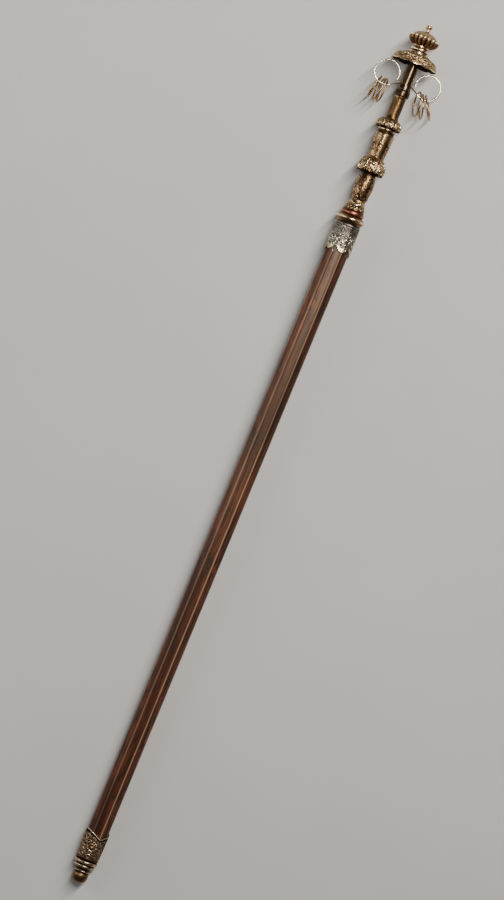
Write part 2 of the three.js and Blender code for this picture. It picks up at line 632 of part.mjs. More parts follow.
// Lotus bud with a fluted bowl and petal tips along its lip, a bead and a ball above
function lotusBud() {
  const flutes = (share) => (angle) => [share * BUD_PETAL_HEIGHT * Math.cos(BUD_PETALS * angle), 0];
  const bowlLow = budLow + BUD_FOOT_LENGTH;
  const lip = bowlLow + BUD_BOWL_LENGTH;
  const domeLow = lip + BUD_LIP;
  const domeHigh = domeLow + BUD_DOME_LENGTH;
  const ballLow = domeHigh + BEAD_LENGTH;
  const ball = [0.35, 0.6, 0.83].map((share) => {
    const turn = Math.PI * share;
    return at(BALL_RADIUS * Math.sin(turn), ballLow + (BALL_LENGTH * (1 - Math.cos(turn))) / 2);
  });
  return turned([
    at(0, budLow),
    at(BUD_FOOT_RADIUS, budLow),
    at(BUD_FOOT_RADIUS, bowlLow - 0.4),
    at(BUD_RADIUS * 0.7, bowlLow + BUD_BOWL_LENGTH * 0.1, flutes(0.5)),
    at(BUD_RADIUS * 0.86, bowlLow + BUD_BOWL_LENGTH * 0.32, flutes(0.8)),
    at(BUD_RADIUS * 0.96, bowlLow + BUD_BOWL_LENGTH * 0.64, flutes(0.9)),
    at(BUD_RADIUS, lip, flutes(1)),
    at(BUD_RADIUS * 0.97, domeLow, flutes(0.8)),
    at(BUD_RADIUS * 0.84, domeLow + BUD_DOME_LENGTH * 0.28, flutes(0.4)),
    at(BUD_RADIUS * 0.62, domeLow + BUD_DOME_LENGTH * 0.66),
    at(BUD_RADIUS * 0.36, domeLow + BUD_DOME_LENGTH * 0.88),
    at(BEAD_NECK_RADIUS, domeHigh),
    at(BEAD_RADIUS, domeHigh + BEAD_LENGTH * 0.5),
    at(BALL_NECK_RADIUS, ballLow),
    ...ball,
    at(0, staffLength),
  ], BUD_SIDES);
}

// One loose ring: it hangs on the hoop's wire, leans outward and stops just short of the floor
function looseRing({ place, lean, tilt }, side) {
  const centre = new THREE.Vector3(side * hoopCentre.x, hoopCentre.y, 0);
  const around = degrees(place);
  const onWire = new THREE.Vector3(HOOP_RADIUS * Math.sin(around), -HOOP_RADIUS * Math.cos(around), 0).add(centre);
  const outward = new THREE.Vector3(Math.sin(degrees(lean)), -Math.cos(degrees(lean)), 0);
  const across = new THREE.Vector3(Math.cos(degrees(lean)), Math.sin(degrees(lean)), 0);
  const down = across.multiplyScalar(Math.sin(degrees(tilt))).add(new THREE.Vector3(0, 0, -Math.cos(degrees(tilt))));
  const slack = RING_RADIUS - RING_WIRE_RADIUS - HOOP_WIRE_RADIUS - LOOSE_CLEARANCE;
  const room = floorBelow(onWire.y - 2 * RING_RADIUS) - RING_WIRE_RADIUS - RING_FLOOR_CLEARANCE;
  const drop = Math.min(room / Math.cos(degrees(tilt)) - RING_RADIUS, slack * 0.97);
  const reach = Math.sqrt(slack ** 2 - drop ** 2);
  const middle = onWire.clone().addScaledVector(outward, reach).addScaledVector(down, drop);
  const ring = new THREE.TorusGeometry(RING_RADIUS, RING_WIRE_RADIUS, WIRE_SIDES, RING_STEPS);
  const facing = new THREE.Vector3().crossVectors(outward, down);
  ring.applyMatrix4(new THREE.Matrix4().makeBasis(outward, down, facing).setPosition(middle));
  return welded(ring);
}

addPiece('foot_tip', footTip(), darkBronze);
addPiece('foot_ferrule', footFerrule(), darkBronze);
addPiece('shaft', shaft(), rosewood);
addPiece('socket_sleeve', socketSleeve(), pewter);
addPiece('flange_disc', flangeDisc(), brass);
addPiece('copper_ring', copperRing(), copper);
addPiece('column', column(), brass);
addPiece('stem_collar', stemCollar(), brass);
addPiece('canopy_stem', canopyStem(), brass);
addPiece('canopy', canopy(), brass);
addPiece('lotus_bud', lotusBud(), brass);

const hoop = wire(hoopPath(), HOOP_WIRE_RADIUS, HOOP_STEPS);
addPiece('hoop_right', hoop, paleBrass);
addPiece('hoop_left', mirrored(hoop), paleBrass);
RIGHT_RINGS.forEach((ring, index) => addPiece(`ring_right_${index + 1}`, looseRing(ring, 1), paleBrass));
LEFT_RINGS.forEach((ring, index) => addPiece(`ring_left_${index + 1}`, looseRing(ring, -1), paleBrass));

for (const piece of pieces) staff.add(piece);

const model = new THREE.Group();
model.add(staff);

export default model;
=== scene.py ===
"""A ringed monk's staff lying on a pale floor, seen from above: rosewood shaft, brass head, loose rings.

Every piece is made in the staff's own frame, in millimetres: X runs across the hoops, Y along the
axis from the foot's end, and Z away from the floor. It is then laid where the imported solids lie.
"""

import math

import bpy
import numpy as np
from mathutils import Matrix, Vector


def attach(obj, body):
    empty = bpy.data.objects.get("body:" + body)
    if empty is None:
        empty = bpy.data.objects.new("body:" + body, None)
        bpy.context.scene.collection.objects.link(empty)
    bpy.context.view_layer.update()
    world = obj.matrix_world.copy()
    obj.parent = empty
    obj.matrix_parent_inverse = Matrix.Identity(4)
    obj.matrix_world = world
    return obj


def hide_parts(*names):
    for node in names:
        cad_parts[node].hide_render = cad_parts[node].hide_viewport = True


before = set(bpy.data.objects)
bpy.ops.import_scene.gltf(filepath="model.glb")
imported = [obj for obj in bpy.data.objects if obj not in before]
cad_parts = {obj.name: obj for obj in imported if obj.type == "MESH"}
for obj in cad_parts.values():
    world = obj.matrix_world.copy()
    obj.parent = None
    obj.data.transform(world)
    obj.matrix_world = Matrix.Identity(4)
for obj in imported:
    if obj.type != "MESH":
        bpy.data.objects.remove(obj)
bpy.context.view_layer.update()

MM = 0.001
FULL_TURN = 2 * math.pi

# Camera: straight above the staff, as the photograph shows it
PHOTO_LONG_SIDE = 900
MM_PER_PIXEL = 1.6185
CAMERA_SPOT = (-0.0050, 0.7190)
CAMERA_HEIGHT = 5.937
AXIS_HEIGHT = 0.030
CAMERA_ROLL = 22.38
SENSOR_WIDTH = 36
FARTHEST_SEEN = 60

# Foot tip: its rings are a radius and a length
TIP_END_RADIUS = 12.8
TIP_END_LENGTH = 17.8
TIP_NECK_RADIUS = 11.2
TIP_NECK_LENGTH = 1.6
TIP_SMALL_RING = (13.2, 2.8)
TIP_COVE = (12.2, 5.2)
TIP_MIDDLE_RING = (17.0, 4.2)
TIP_GROOVE = (15.6, 2.0)
TIP_WIDE_RING = (19.6, 6.4)

# Eight-sided shaft
SHAFT_FOOT_HALF_WIDTH = 17.4
SHAFT_HEAD_HALF_WIDTH = 19.4
SHAFT_ARRIS_ROUNDING = 7

# Foot ferrule
FERRULE_FLOOR = 6
FERRULE_WALL = 1.1
FERRULE_LOW_LENGTH = 39.5
FERRULE_WAVE = 11.2
FERRULE_LOWER_RADIUS = 18.3
FERRULE_WAIST_RADIUS = 17.8
FERRULE_WAIST_SHARE = 0.55
FERRULE_VALLEY_ANGLE = math.radians(22.5)
FERRULE_SCALES = 14
FERRULE_SCALE_LENGTH = 5.2
FERRULE_CURLS = 9
FERRULE_CURL_LENGTH = 12.5

# Socket sleeve
SLEEVE_LENGTH = 39
SLEEVE_TOP_RADIUS = 20.9
SLEEVE_TOP_PLATE = 4.5
SLEEVE_WALL = 1.3
SLEEVE_FACETING = 0.3
BORE_CLEARANCE = 0.3
TONGUE_COUNT = 6
TONGUE_ANGLE = math.radians(15)
TONGUE_LENGTH = 9
UNDER_TONGUE_LENGTH = 13
HANG_SHARE = 0.35
BOLD_CURLS = 9
BOLD_CURL_LENGTH = 14
FINE_CURLS = 20
FINE_CURL_LENGTH = 6.3

# Flange disc and copper ring
FLANGE_RADIUS = 24.3
FLANGE_EDGE = 3.2
FLANGE_CROWN_RADIUS = 22.2
FLANGE_TOP_RADIUS = 20.2
FLANGE_FOOT_RADIUS = 19.2
FLANGE_CONE = 6.4
COPPER_RADIUS = 18.8
COPPER_BULGE = 2.4

# Column, from its base up
BASE_RADIUS = 16.6
BASE_TOP_RADIUS = 15.4
BASE_LENGTH = 9.2
BASE_BLOCKS = 12
CHEVRON_RADIUS = 14.8
CHEVRON_LENGTH = 5.2
CHEVRON_WAVE = 2.2
CHEVRON_COUNT = 4
VASE_FOOT_RADIUS = 11.8
VASE_BELLY_RADIUS = 15.7
VASE_NECK_RADIUS = 11.6
VASE_LENGTH = 52
LOWER_KNOP_LIP_RADIUS = 21
LOWER_KNOP_RADIUS = 21.8
LOWER_KNOP_LENGTH = 26.5
LOWER_KNOP_TOP_RADIUS = 13.5
PETAL_COUNT = 8
PETAL_HEIGHT = 1.5
PETAL_DROP = 2
KNOP_BEAD_SIZE = (0.9, 0.9, 0.8)
MIDDLE_TUBE_LENGTH = 41.3
MIDDLE_TUBE_TOP_RADIUS = 15.5
KNOP_NECK_RADIUS = 13.7
KNOP_NECK_LENGTH = 4.2
KNOP_RING_RADIUS = 15.1
KNOP_RING_LENGTH = 5.3
UPPER_KNOP_LIP_RADIUS = 19.2
UPPER_KNOP_RADIUS = 20.3
UPPER_KNOP_LENGTH = 16.6
UPPER_KNOP_TOP_RADIUS = 11.6
UPPER_TUBE_RADIUS = 10
UPPER_TUBE_FLARE = 0.9

# Collar and stem
COLLAR_RADIUS = 12.8
COLLAR_BEVEL = 1.2
STEM_FOOT_RADIUS = 11.2
STEM_RADIUS = 10
STEM_HEAD_RADIUS = 9.3
STEM_FOOT_FLARE = 8

# Canopy
CANOPY_RIM_RADIUS = 39.2
CANOPY_SHOULDER_RADIUS = 32
CANOPY_SKIRT = 12.4
CANOPY_FLARE = 7.1
CANOPY_RIM_EDGE = 1.5
CANOPY_WALL = 2.2
CANOPY_CAVITY_RADIUS = 26
CANOPY_LEAVES = 12
CANOPY_LEAF_HEIGHT = 0.44
CANOPY_SCALLOP = 1.3
CANOPY_CURL_LENGTH = 9.5
CANOPY_BEAD_SIZE = (0.85, 0.85, 0.7)
STEP_RADIUS = 17
STEP_LENGTH = 2.6
STEP_GROOVE_RADIUS = 14.2
STEP_GROOVE_LENGTH = 1.2
TORUS_RADIUS = 15.3
TORUS_BULGE = 2.4

# Lotus bud and ball
BUD_FOOT_RADIUS = 12.6
BUD_FOOT_LENGTH = 4
BUD_RADIUS = 24.4
BUD_BOWL_LENGTH = 9.9
BUD_LIP = 1.8
BUD_DOME_LENGTH = 12
BUD_PETALS = 20
BUD_PETAL_HEIGHT = 0.7
BUD_TIP_SIZE = (2.5, 2.6, 2.1)
BEAD_RADIUS = 4
BEAD_LENGTH = 4.2
BEAD_NECK_RADIUS = 2.9
BALL_RADIUS = 6.2
BALL_LENGTH = 8.2
BALL_NECK_RADIUS = 3.2

# Hoops and loose rings
HOOP_RADIUS = 20.4
HOOP_WIRE_RADIUS = 1.5
HOOP_SIDE = 35.6
HOOP_ABOVE_STEM_FOOT = 18
HOOP_SHANK_ANGLE = 232
HOOP_END_ANGLE = 198
HOOP_HOLE_SIDE = 2.8
HOOP_HOLE_ABOVE_CENTRE = -4.6
HOOP_HOLE_DEPTH = 7
HOOP_STOPS = 72
RING_RADIUS = 20.15
RING_WIRE_RADIUS = 1.45
RING_STOPS = 96
RINGS_A_SIDE = 3
WIRE_UNEVENNESS = 0.02

# Fineness of each turned piece: places round it, and the longest step along its outline
FINENESS = {
    "foot_tip": (144, 0.7),
    "foot_ferrule": (288, 0.45),
    "socket_sleeve": (360, 0.42),
    "flange_disc": (160, 0.5),
    "copper_ring": (144, 0.5),
    "column": (260, 0.85),
    "stem_collar": (128, 0.5),
    "canopy_stem": (128, 0.8),
    "canopy": (384, 0.45),
    "lotus_bud": (320, 0.45),
}
FLAT_END_STEP = 4
UNSEEN_STEP = 2
UNSEEN_POLISH = 0.2

# Metals: bare, worn and recessed colour, mottling, and roughness where smoothest and where roughest
METALS = {
    "old head brass": ((0.96, 0.75, 0.45), (0.29, 0.16, 0.068), (0.018, 0.009, 0.005), 0.3, 0.17, 0.44),
    # The canopy brass is a lighter copy of the head brass: its rougher finish is real, and its raised colours
    # are a painted sheen for the canopy's broad highlights.
    "canopy brass lightened as painted sheen": ((0.98, 0.78, 0.48), (0.36, 0.20, 0.088), (0.024, 0.012, 0.006), 0.4, 0.2, 0.46),
    "dark stem brass": ((0.74, 0.60, 0.43), (0.145, 0.093, 0.052), (0.014, 0.010, 0.006), 0.2, 0.12, 0.36),
    "worn wire brass": ((0.96, 0.82, 0.60), (0.50, 0.31, 0.15), (0.05, 0.03, 0.018), 0.08, 0.2, 0.42),
    "red copper": ((0.72, 0.36, 0.22), (0.24, 0.075, 0.045), (0.06, 0.018, 0.010), 0.3, 0.26, 0.5),
    "engraved grey metal": ((0.72, 0.65, 0.54), (0.24, 0.21, 0.17), (0.018, 0.015, 0.012), 0.35, 0.2, 0.5),
    "dark foot bronze": ((0.66, 0.52, 0.36), (0.20, 0.115, 0.06), (0.018, 0.010, 0.006), 0.3, 0.24, 0.55),
}
GILT = (0.80, 0.66, 0.38)
BUMP_STRENGTH = 0.25
BUMP_DISTANCE = 0.0003

# Floor and lights
FLOOR_HALF_SIDE = 12
SKY_COLOUR = (0.80, 0.84, 0.90, 1)
SKY_STRENGTH = 0.08
LIGHTS = {
    "key": dict(
        place=(0.72, 2.5, 3.0), target=(0, 1.2, 0), width=0.24, length=3.4, power=150,
        colour=(1.0, 0.96, 0.90)),
    "left fill": dict(
        place=(-2.8, 0.8, 1.6), target=(0, 0.8, 0), width=0.7, length=2.6, power=26,
        colour=(0.97, 0.98, 1.0)),
}


# The staff's own frame

def staff_matrix():
    """The staff's frame in millimetres: its axis runs through the middles of the shaft's two ends."""
    corners = np.array([corner.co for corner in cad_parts["shaft"].data.vertices])
    stations = corners[:, 1]
    middle = (stations.min() + stations.max()) / 2
    low = Vector(corners[stations < middle].mean(axis=0))
    high = Vector(corners[stations > middle].mean(axis=0))
    along = (high - low).normalized()
    across = Vector((1, 0, 0))
    up = across.cross(along).normalized()
    turn = Matrix((across, along, up)).transposed().to_4x4()
    foot = min(along.dot(corner.co - low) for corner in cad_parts["foot_tip"].data.vertices)
    return Matrix.Translation(low + along * foot) @ turn @ Matrix.Scale(MM, 4)


STAFF = staff_matrix()


def span(solid):
    """Lowest and highest station of a solid along the staff, in millimetres."""
    back = STAFF.inverted()
    stations = [(back @ corner.co).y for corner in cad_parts[solid].data.vertices]
    return min(stations), max(stations)


# Profiles and reliefs

def bead(radius, low, length, bulge, steps=10):
    """Profile points of a bead that starts at a station and swells to a radius."""
    turns = np.linspace(0, math.pi, steps + 1)
    return [
        (radius - bulge + bulge * math.sin(turn), low + length * (1 - math.cos(turn)) / 2)
        for turn in turns
    ]


def sweep(points, steps=24):
    """Points of a smooth curve through the given radius and station pairs."""
    knots = np.array([points[0], *points, points[-1]], float)
    knots[0] = 2 * knots[1] - knots[2]
    knots[-1] = 2 * knots[-2] - knots[-3]
    pieces = len(points) - 1
    curve = []
    for step in range(steps + 1):
        place = min(step * pieces / steps, pieces - 1e-9)
        index = int(place)
        share = place - index
        a, b, c, d = knots[index:index + 4]
        cubic = -a + 3 * b - 3 * c + d
        square = 2 * a - 5 * b + 4 * c - d
        point = 0.5 * (2 * b + (c - a) * share + square * share ** 2 + cubic * share ** 3)
        curve.append(tuple(point))
    return curve


def fine(points, step):
    """The same profile in short steps: a flat end that runs to the axis takes longer ones."""
    rows = [points[0]]
    for start, end in zip(points, points[1:]):
        longest = step * (FLAT_END_STEP if 0 in (start[0], end[0]) else 1)
        count = max(1, math.ceil(math.dist(start, end) / longest))
        for index in range(1, count + 1):
            share = index / count
            rows.append((start[0] + (end[0] - start[0]) * share, start[1] + (end[1] - start[1]) * share))
    return np.array(rows)


def smooth(value, low, high):
    """A soft step from 0 at the low value to 1 at the high one."""
    share = np.clip((value - low) / (high - low), 0, 1)
    return share * share * (3 - 2 * share)


def band(value, low, high, soft=0.8):
    """1 between two values and 0 outside them, with soft ends."""
    return smooth(value, low, low + soft) * (1 - smooth(value, high - soft, high))


def ridge(distance, width):
    """A rounded ridge, 1 on its crest and 0 from its width on."""
    return np.clip(1 - (distance / width) ** 2, 0, 1)


def off_whole(value):
    """How far each value lies past the nearest whole number, from -0.5 to 0.5."""
    return value - np.round(value)


def apart(value):
    return np.abs(off_whole(value))


def scrollwork(across, along, turns=1.2, line=0.3):
    """Curls in square cells, each wound the other way from its neighbours."""
    x = off_whole(across)
    y = off_whole(along)
    sense = np.where((np.round(across) + np.round(along)) % 2 == 0, 1, -1)
    reach = 2 * np.hypot(x, y)
    winding = np.arctan2(y, x * sense) / FULL_TURN
    curl = ridge(apart(reach * turns - winding), line) * (1 - smooth(reach, 0.7, 0.85))
    eye = ridge(reach, 0.2)
    lobed = 0.96 + 0.11 * np.cos(7 * FULL_TURN * winding)
    frill = ridge(reach - lobed, 0.13) * (1 - 0.5 * ridge(apart(7 * winding), 0.14))
    corner = ridge(1.42 - reach, 0.22)
    return np.maximum(np.maximum(curl, eye), np.maximum(frill, corner))


def leaf(turn, share, lobes=3):
    """A row of leaves, one for each whole turn: share runs from 0 at their feet to 1 at their tips."""
    across = off_whole(turn)
    inside_row = (share > 0) & (share < 1)
    share = np.clip(share, 0, 1)
    edge = 0.5 * np.sqrt(1 - share ** 2) * (0.92 + 0.08 * np.cos(FULL_TURN * lobes * share))
    inward = edge - np.abs(across)
    body = smooth(inward, 0, 0.08)
    hem = ridge(inward - 0.07, 0.07)
    rib = ridge(across, 0.06)
    veins = ridge(apart(lobes * (share - 0.8 * np.abs(across))), 0.2)
    return inside_row * body * np.clip(0.25 + 0.75 * hem + 0.75 * rib + 0.45 * veins, 0, 1)


def octagon_share(angle):
    """How far the flat of an eight-sided bar stands off at an angle, as a share of its half width."""
    face = math.pi / 4
    return 1 / np.cos(angle - face * np.round(angle / face))


def bore_radius(station):
    """Half width of a bore that takes the tapered shaft at a station."""
    low, high = span("shaft")
    share = (station - low) / (high - low)
    return SHAFT_FOOT_HALF_WIDTH + (SHAFT_HEAD_HALF_WIDTH - SHAFT_FOOT_HALF_WIDTH) * share + BORE_CLEARANCE


# Meshes and pieces

def turned(name, profile, carve, lift=None, section=None, inner=()):
    """A body turned about the axis.

    carve gives how far each place stands out, its polish and, where it has any, its gilding. lift
    moves places along the axis, and section widens a body that isn't round.
    """
    sides, step = FINENESS[name]
    rows = fine(profile, step)
    carved = len(rows)
    if inner:
        rows = np.vstack([rows, fine([profile[-1], *inner], step * UNSEEN_STEP)[1:]])
    outside = (np.arange(len(rows)) < carved)[:, None]
    slope = np.gradient(rows, axis=0)
    slope /= np.maximum(np.linalg.norm(slope, axis=1, keepdims=True), 1e-9)
    angles, radius = np.meshgrid(np.linspace(0, FULL_TURN, sides, endpoint=False), rows[:, 0])
    station = np.repeat(rows[:, 1:], sides, axis=1)
    relief, shine, *gold = carve(angles, station, radius)
    polish = np.where(outside, shine, UNSEEN_POLISH)
    gilt = np.where(outside, gold[0] if gold else 0 * radius, 0)
    wide = section(angles, station) if section else 0
    raised = lift(angles, station) if lift else 0
    moved_out = np.where(outside, relief, 0) * (radius > 0)
    far = radius + wide * (radius > 0) + slope[:, 1:] * moved_out
    high = station + raised - slope[:, :1] * moved_out
    places = np.stack([far * np.sin(angles), high, far * np.cos(angles)], axis=-1)
    return closed_grid(name, places, polish, gilt)


def closed_grid(name, places, polish, gilt):
    """A smooth mesh of rows of places round the axis, closed by one point on the axis at each end."""
    rows, sides = polish.shape
    ends = np.stack([places[0].mean(axis=0), places[-1].mean(axis=0)])
    everything = np.vstack([places[1:-1].reshape(-1, 3), ends])
    index = np.arange((rows - 2) * sides).reshape(rows - 2, sides)
    after = np.roll(index, -1, axis=1)
    walls = np.stack([index[:-1], after[:-1], after[1:], index[1:]], axis=-1).reshape(-1, 4).tolist()
    first = index.size
    walls += [(first, b, a) for a, b in zip(index[0].tolist(), after[0].tolist())]
    walls += [(first + 1, a, b) for a, b in zip(index[-1].tolist(), after[-1].tolist())]
    mesh = bpy.data.meshes.new(name)
    mesh.from_pydata(everything.tolist(), [], walls)
    for label, values in (("polish", polish), ("gilt", gilt)):
        store(mesh, label, np.append(values[1:-1].ravel(), [values[0, 0], values[-1, 0]]))
    mesh.shade_smooth()
    mesh.validate()
    return mesh


def store(mesh, label, values):
    """Keeps one number for each of a mesh's places, for its material."""
    attribute = mesh.attributes.new(label, "FLOAT", "POINT")
    attribute.data.foreach_set("value", np.ascontiguousarray(values, np.float32))


def piece_of(mesh, material, solid):
    """Lays a mesh where the staff lies, no lower than the floor, and puts it in the place of its solid."""
    mesh.transform(STAFF)
    heights = np.empty(len(mesh.vertices) * 3, np.float32)
    mesh.vertices.foreach_get("co", heights)
    heights[2::3] = np.maximum(heights[2::3], 0)
    mesh.vertices.foreach_set("co", heights)
    mesh.materials.clear()
    mesh.materials.append(material)
    mesh.update()
    piece = bpy.data.objects.new(mesh.name, mesh)
    bpy.context.scene.collection.objects.link(piece)
    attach(piece, "root")
    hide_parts(solid)


# Nodes

def link(tree, target, *links):
    """Links or sets a node's inputs, given as (name, source): a node stands for its first output."""
    for label, source in links:
        if isinstance(source, bpy.types.Node):
            source = source.outputs[0]
        if isinstance(source, bpy.types.NodeSocket):
            tree.links.new(source, target.inputs[label])
        else:
            target.inputs[label].default_value = source
    return target


def add(tree, kind, *links, **settings):
    """A new node of a tree, with its settings made and its inputs linked or set."""
    made = tree.nodes.new(kind)
    for label, value in settings.items():
        setattr(made, label, value)
    return link(tree, made, *links)


def calc(tree, operation, first, second):
    return add(tree, "ShaderNodeMath", (0, first), (1, second), operation=operation)


def noise(tree, place, scale, detail, roughness=0.5):
    return add(
        tree, "ShaderNodeTexNoise",
        ("Vector", place), ("Scale", scale), ("Detail", detail), ("Roughness", roughness),
    )


SOCKET_KINDS = {int: "Int", float: "Float", tuple: "Vector", list: "Color", type(None): "Material"}


def new_group(name, kind, inputs, outputs):
    """A node group: its inputs are named with their default values, where a list stands for a colour
    and None for a material, and its outputs with their kinds.
    """
    group = bpy.data.node_groups.new(name, kind)
    if kind == "GeometryNodeTree":
        group.interface.new_socket("Geometry", in_out="INPUT", socket_type="NodeSocketGeometry")
    for label, value in inputs.items():
        socket_type = f"NodeSocket{SOCKET_KINDS[type(value)]}"
        socket = group.interface.new_socket(label, in_out="INPUT", socket_type=socket_type)
        if value is not None:
            socket.default_value = value
    for label, socket_type in outputs.items():
        group.interface.new_socket(label, in_out="OUTPUT", socket_type=f"NodeSocket{socket_type}")
    return group, group.nodes.new("NodeGroupInput").outputs, group.nodes.new("NodeGroupOutput")


# Geometry trees for what repeats or follows a path

def finish_tree(tree, outgoing, geometry, material):
    """Ends a tree in Realize Instances and Set Material."""
    real = add(tree, "GeometryNodeRealizeInstances", ("Geometry", geometry))
    dressed = add(tree, "GeometryNodeSetMaterial", ("Geometry", real), ("Material", material))
    link(tree, outgoing, ("Geometry", dressed))
    return tree


def through_tree(mesh_or_curve, tree, **inputs):
    """The plain mesh that a tree makes of a mesh or a curve, with the tree's inputs set."""
    name = mesh_or_curve.name
    holder = bpy.data.objects.new("holder", mesh_or_curve)
    bpy.context.scene.collection.objects.link(holder)
    modifier = holder.modifiers.new("tree", "NODES")
    modifier.node_group = tree
    for item in tree.interface.items_tree:
        label = item.name.replace(" ", "_").lower()
        if item.in_out == "INPUT" and label in inputs:
            modifier[item.identifier] = inputs[label]
    graph = bpy.context.evaluated_depsgraph_get()
    made = bpy.data.meshes.new_from_object(holder.evaluated_get(graph), depsgraph=graph)
    holder.modifiers.remove(modifier)
    bpy.data.objects.remove(holder)
    made.name = name
    return made


def with_polish(tree, geometry, value):
    """Geometry that carries one polish value, for the material."""
    return add(
        tree, "GeometryNodeStoreNamedAttribute", ("Geometry", geometry), ("Name", "polish"), ("Value", value),
        data_type="FLOAT", domain="POINT",
    )


def soft_change(tree, scale, amount):
    """A slow random change, up to half the amount either way."""
    grain = noise(tree, add(tree, "GeometryNodeInputPosition"), scale, 1.0)
    return calc(tree, "MULTIPLY", calc(tree, "SUBTRACT", grain, 0.5), amount)


def wire_tree():
    """A round wire along a curve."""
    tree, given, outgoing = new_group("wire along a curve", "GeometryNodeTree", {
        "Wire radius": 1.3, "Sides": 14, "Spacing": 1.2, "Unevenness": 0.05, "Polish": 0.8, "Material": None,
    }, {"Geometry": "Geometry"})
    path = add(
        tree, "GeometryNodeResampleCurve", ("Curve", given["Geometry"]), ("Length", given["Spacing"]),
        mode="LENGTH",
    )
    section = add(
        tree, "GeometryNodeCurvePrimitiveCircle",
        ("Resolution", given["Sides"]), ("Radius", given["Wire radius"]),
    )
    size = calc(tree, "ADD", soft_change(tree, 0.06, given["Unevenness"]), 1.0)
    tube = add(
        tree, "GeometryNodeCurveToMesh",
        ("Curve", path), ("Profile Curve", section), ("Scale", size), ("Fill Caps", True),
    )
    round_tube = add(tree, "GeometryNodeSetShadeSmooth", ("Geometry", tube))
    return finish_tree(tree, outgoing, with_polish(tree, round_tube, given["Polish"]), given["Material"])


def bead_row_tree():
    """A body with a row of small round beads set in it round the axis."""
    tree, given, outgoing = new_group("row of beads round the axis", "GeometryNodeTree", {
        "Count": 24, "Row radius": 20.0, "Station": 0.0, "Bead size": (1, 1, 1), "Material": None,
    }, {"Geometry": "Geometry"})
    row = add(tree, "GeometryNodeMeshCircle", ("Vertices", given["Count"]), ("Radius", given["Row radius"]))
    station = add(tree, "ShaderNodeCombineXYZ", ("Y", given["Station"]))
    upright = add(tree, "GeometryNodeTransform", ("Geometry", row), ("Rotation", (math.pi / 2, 0, 0)))
    placed = add(tree, "GeometryNodeTransform", ("Geometry", upright), ("Translation", station))
    one = add(tree, "GeometryNodeMeshUVSphere", ("Segments", 10), ("Rings", 7), ("Radius", 1.0))
    shiny = with_polish(tree, add(tree, "GeometryNodeSetShadeSmooth", ("Geometry", one)), 1.0)
    place = add(tree, "GeometryNodeInputPosition")
    outward = add(tree, "ShaderNodeVectorMath", (0, place), (1, (1, 0, 1)), operation="MULTIPLY")
    facing = add(tree, "FunctionNodeAlignRotationToVector", ("Vector", outward), axis="Z", pivot_axis="Y")
    beads = add(
        tree, "GeometryNodeInstanceOnPoints",
        ("Points", placed), ("Instance", shiny), ("Rotation", facing), ("Scale", given["Bead size"]),
    )
    joined = add(tree, "GeometryNodeJoinGeometry", ("Geometry", beads), ("Geometry", given["Geometry"]))
    return finish_tree(tree, outgoing, joined, given["Material"])


def eight_sided_tree():
    """An eight-sided tapered bar with softly rounded arrises along a straight curve."""
    tree, given, outgoing = new_group("eight-sided bar", "GeometryNodeTree", {
        "Half width": 18.0, "Head share": 1.1, "Rounding": 1.5, "Rows": 360, "Unevenness": 0.01,
        "Material": None,
    }, {"Geometry": "Geometry"})
    path = add(tree, "GeometryNodeResampleCurve", ("Curve", given["Geometry"]), ("Count", given["Rows"]))
    corner = calc(tree, "MULTIPLY", given["Half width"], 1 / math.cos(math.pi / 8))
    section = add(tree, "GeometryNodeCurvePrimitiveCircle", ("Resolution", 8), ("Radius", corner))
    on_flat = add(tree, "GeometryNodeTransform", ("Geometry", section), ("Rotation", (0, 0, math.pi / 8)))
    rounded = add(
        tree, "GeometryNodeFilletCurve", ("Curve", on_flat), ("Count", 5), ("Radius", given["Rounding"]),
        mode="POLY",
    )
    share = add(tree, "GeometryNodeSplineParameter")
    taper = add(
        tree, "ShaderNodeMapRange", ("Value", share), ("To Min", 1.0), ("To Max", given["Head share"]))
    size = calc(tree, "ADD", taper, soft_change(tree, 0.012, given["Unevenness"]))
    bar = add(
        tree, "GeometryNodeCurveToMesh",
        ("Curve", path), ("Profile Curve", rounded), ("Scale", size), ("Fill Caps", True),
    )
    return finish_tree(tree, outgoing, bar, given["Material"])


# Shader groups for what more than one finish uses

def mix_colour(tree, share, first, second):
    """A mix of two colours: each may be a plain colour or a socket."""
    mixed = add(tree, "ShaderNodeMix", (0, share), data_type="RGBA")
    for index, source in ((6, first), (7, second)):
        link(tree, mixed, (index, (*source, 1) if isinstance(source, tuple) else source))
    return mixed.outputs[2]


def ranged(tree, value, low, high, to_low=0, to_high=1):
    """A value carried from one range to another, with its ends held."""
    return add(
        tree, "ShaderNodeMapRange", ("Value", value), ("From Min", low), ("From Max", high),
        ("To Min", to_low), ("To Max", to_high), clamp=True,
    )


def object_place(tree):
    return add(tree, "ShaderNodeTexCoord").outputs["Object"]


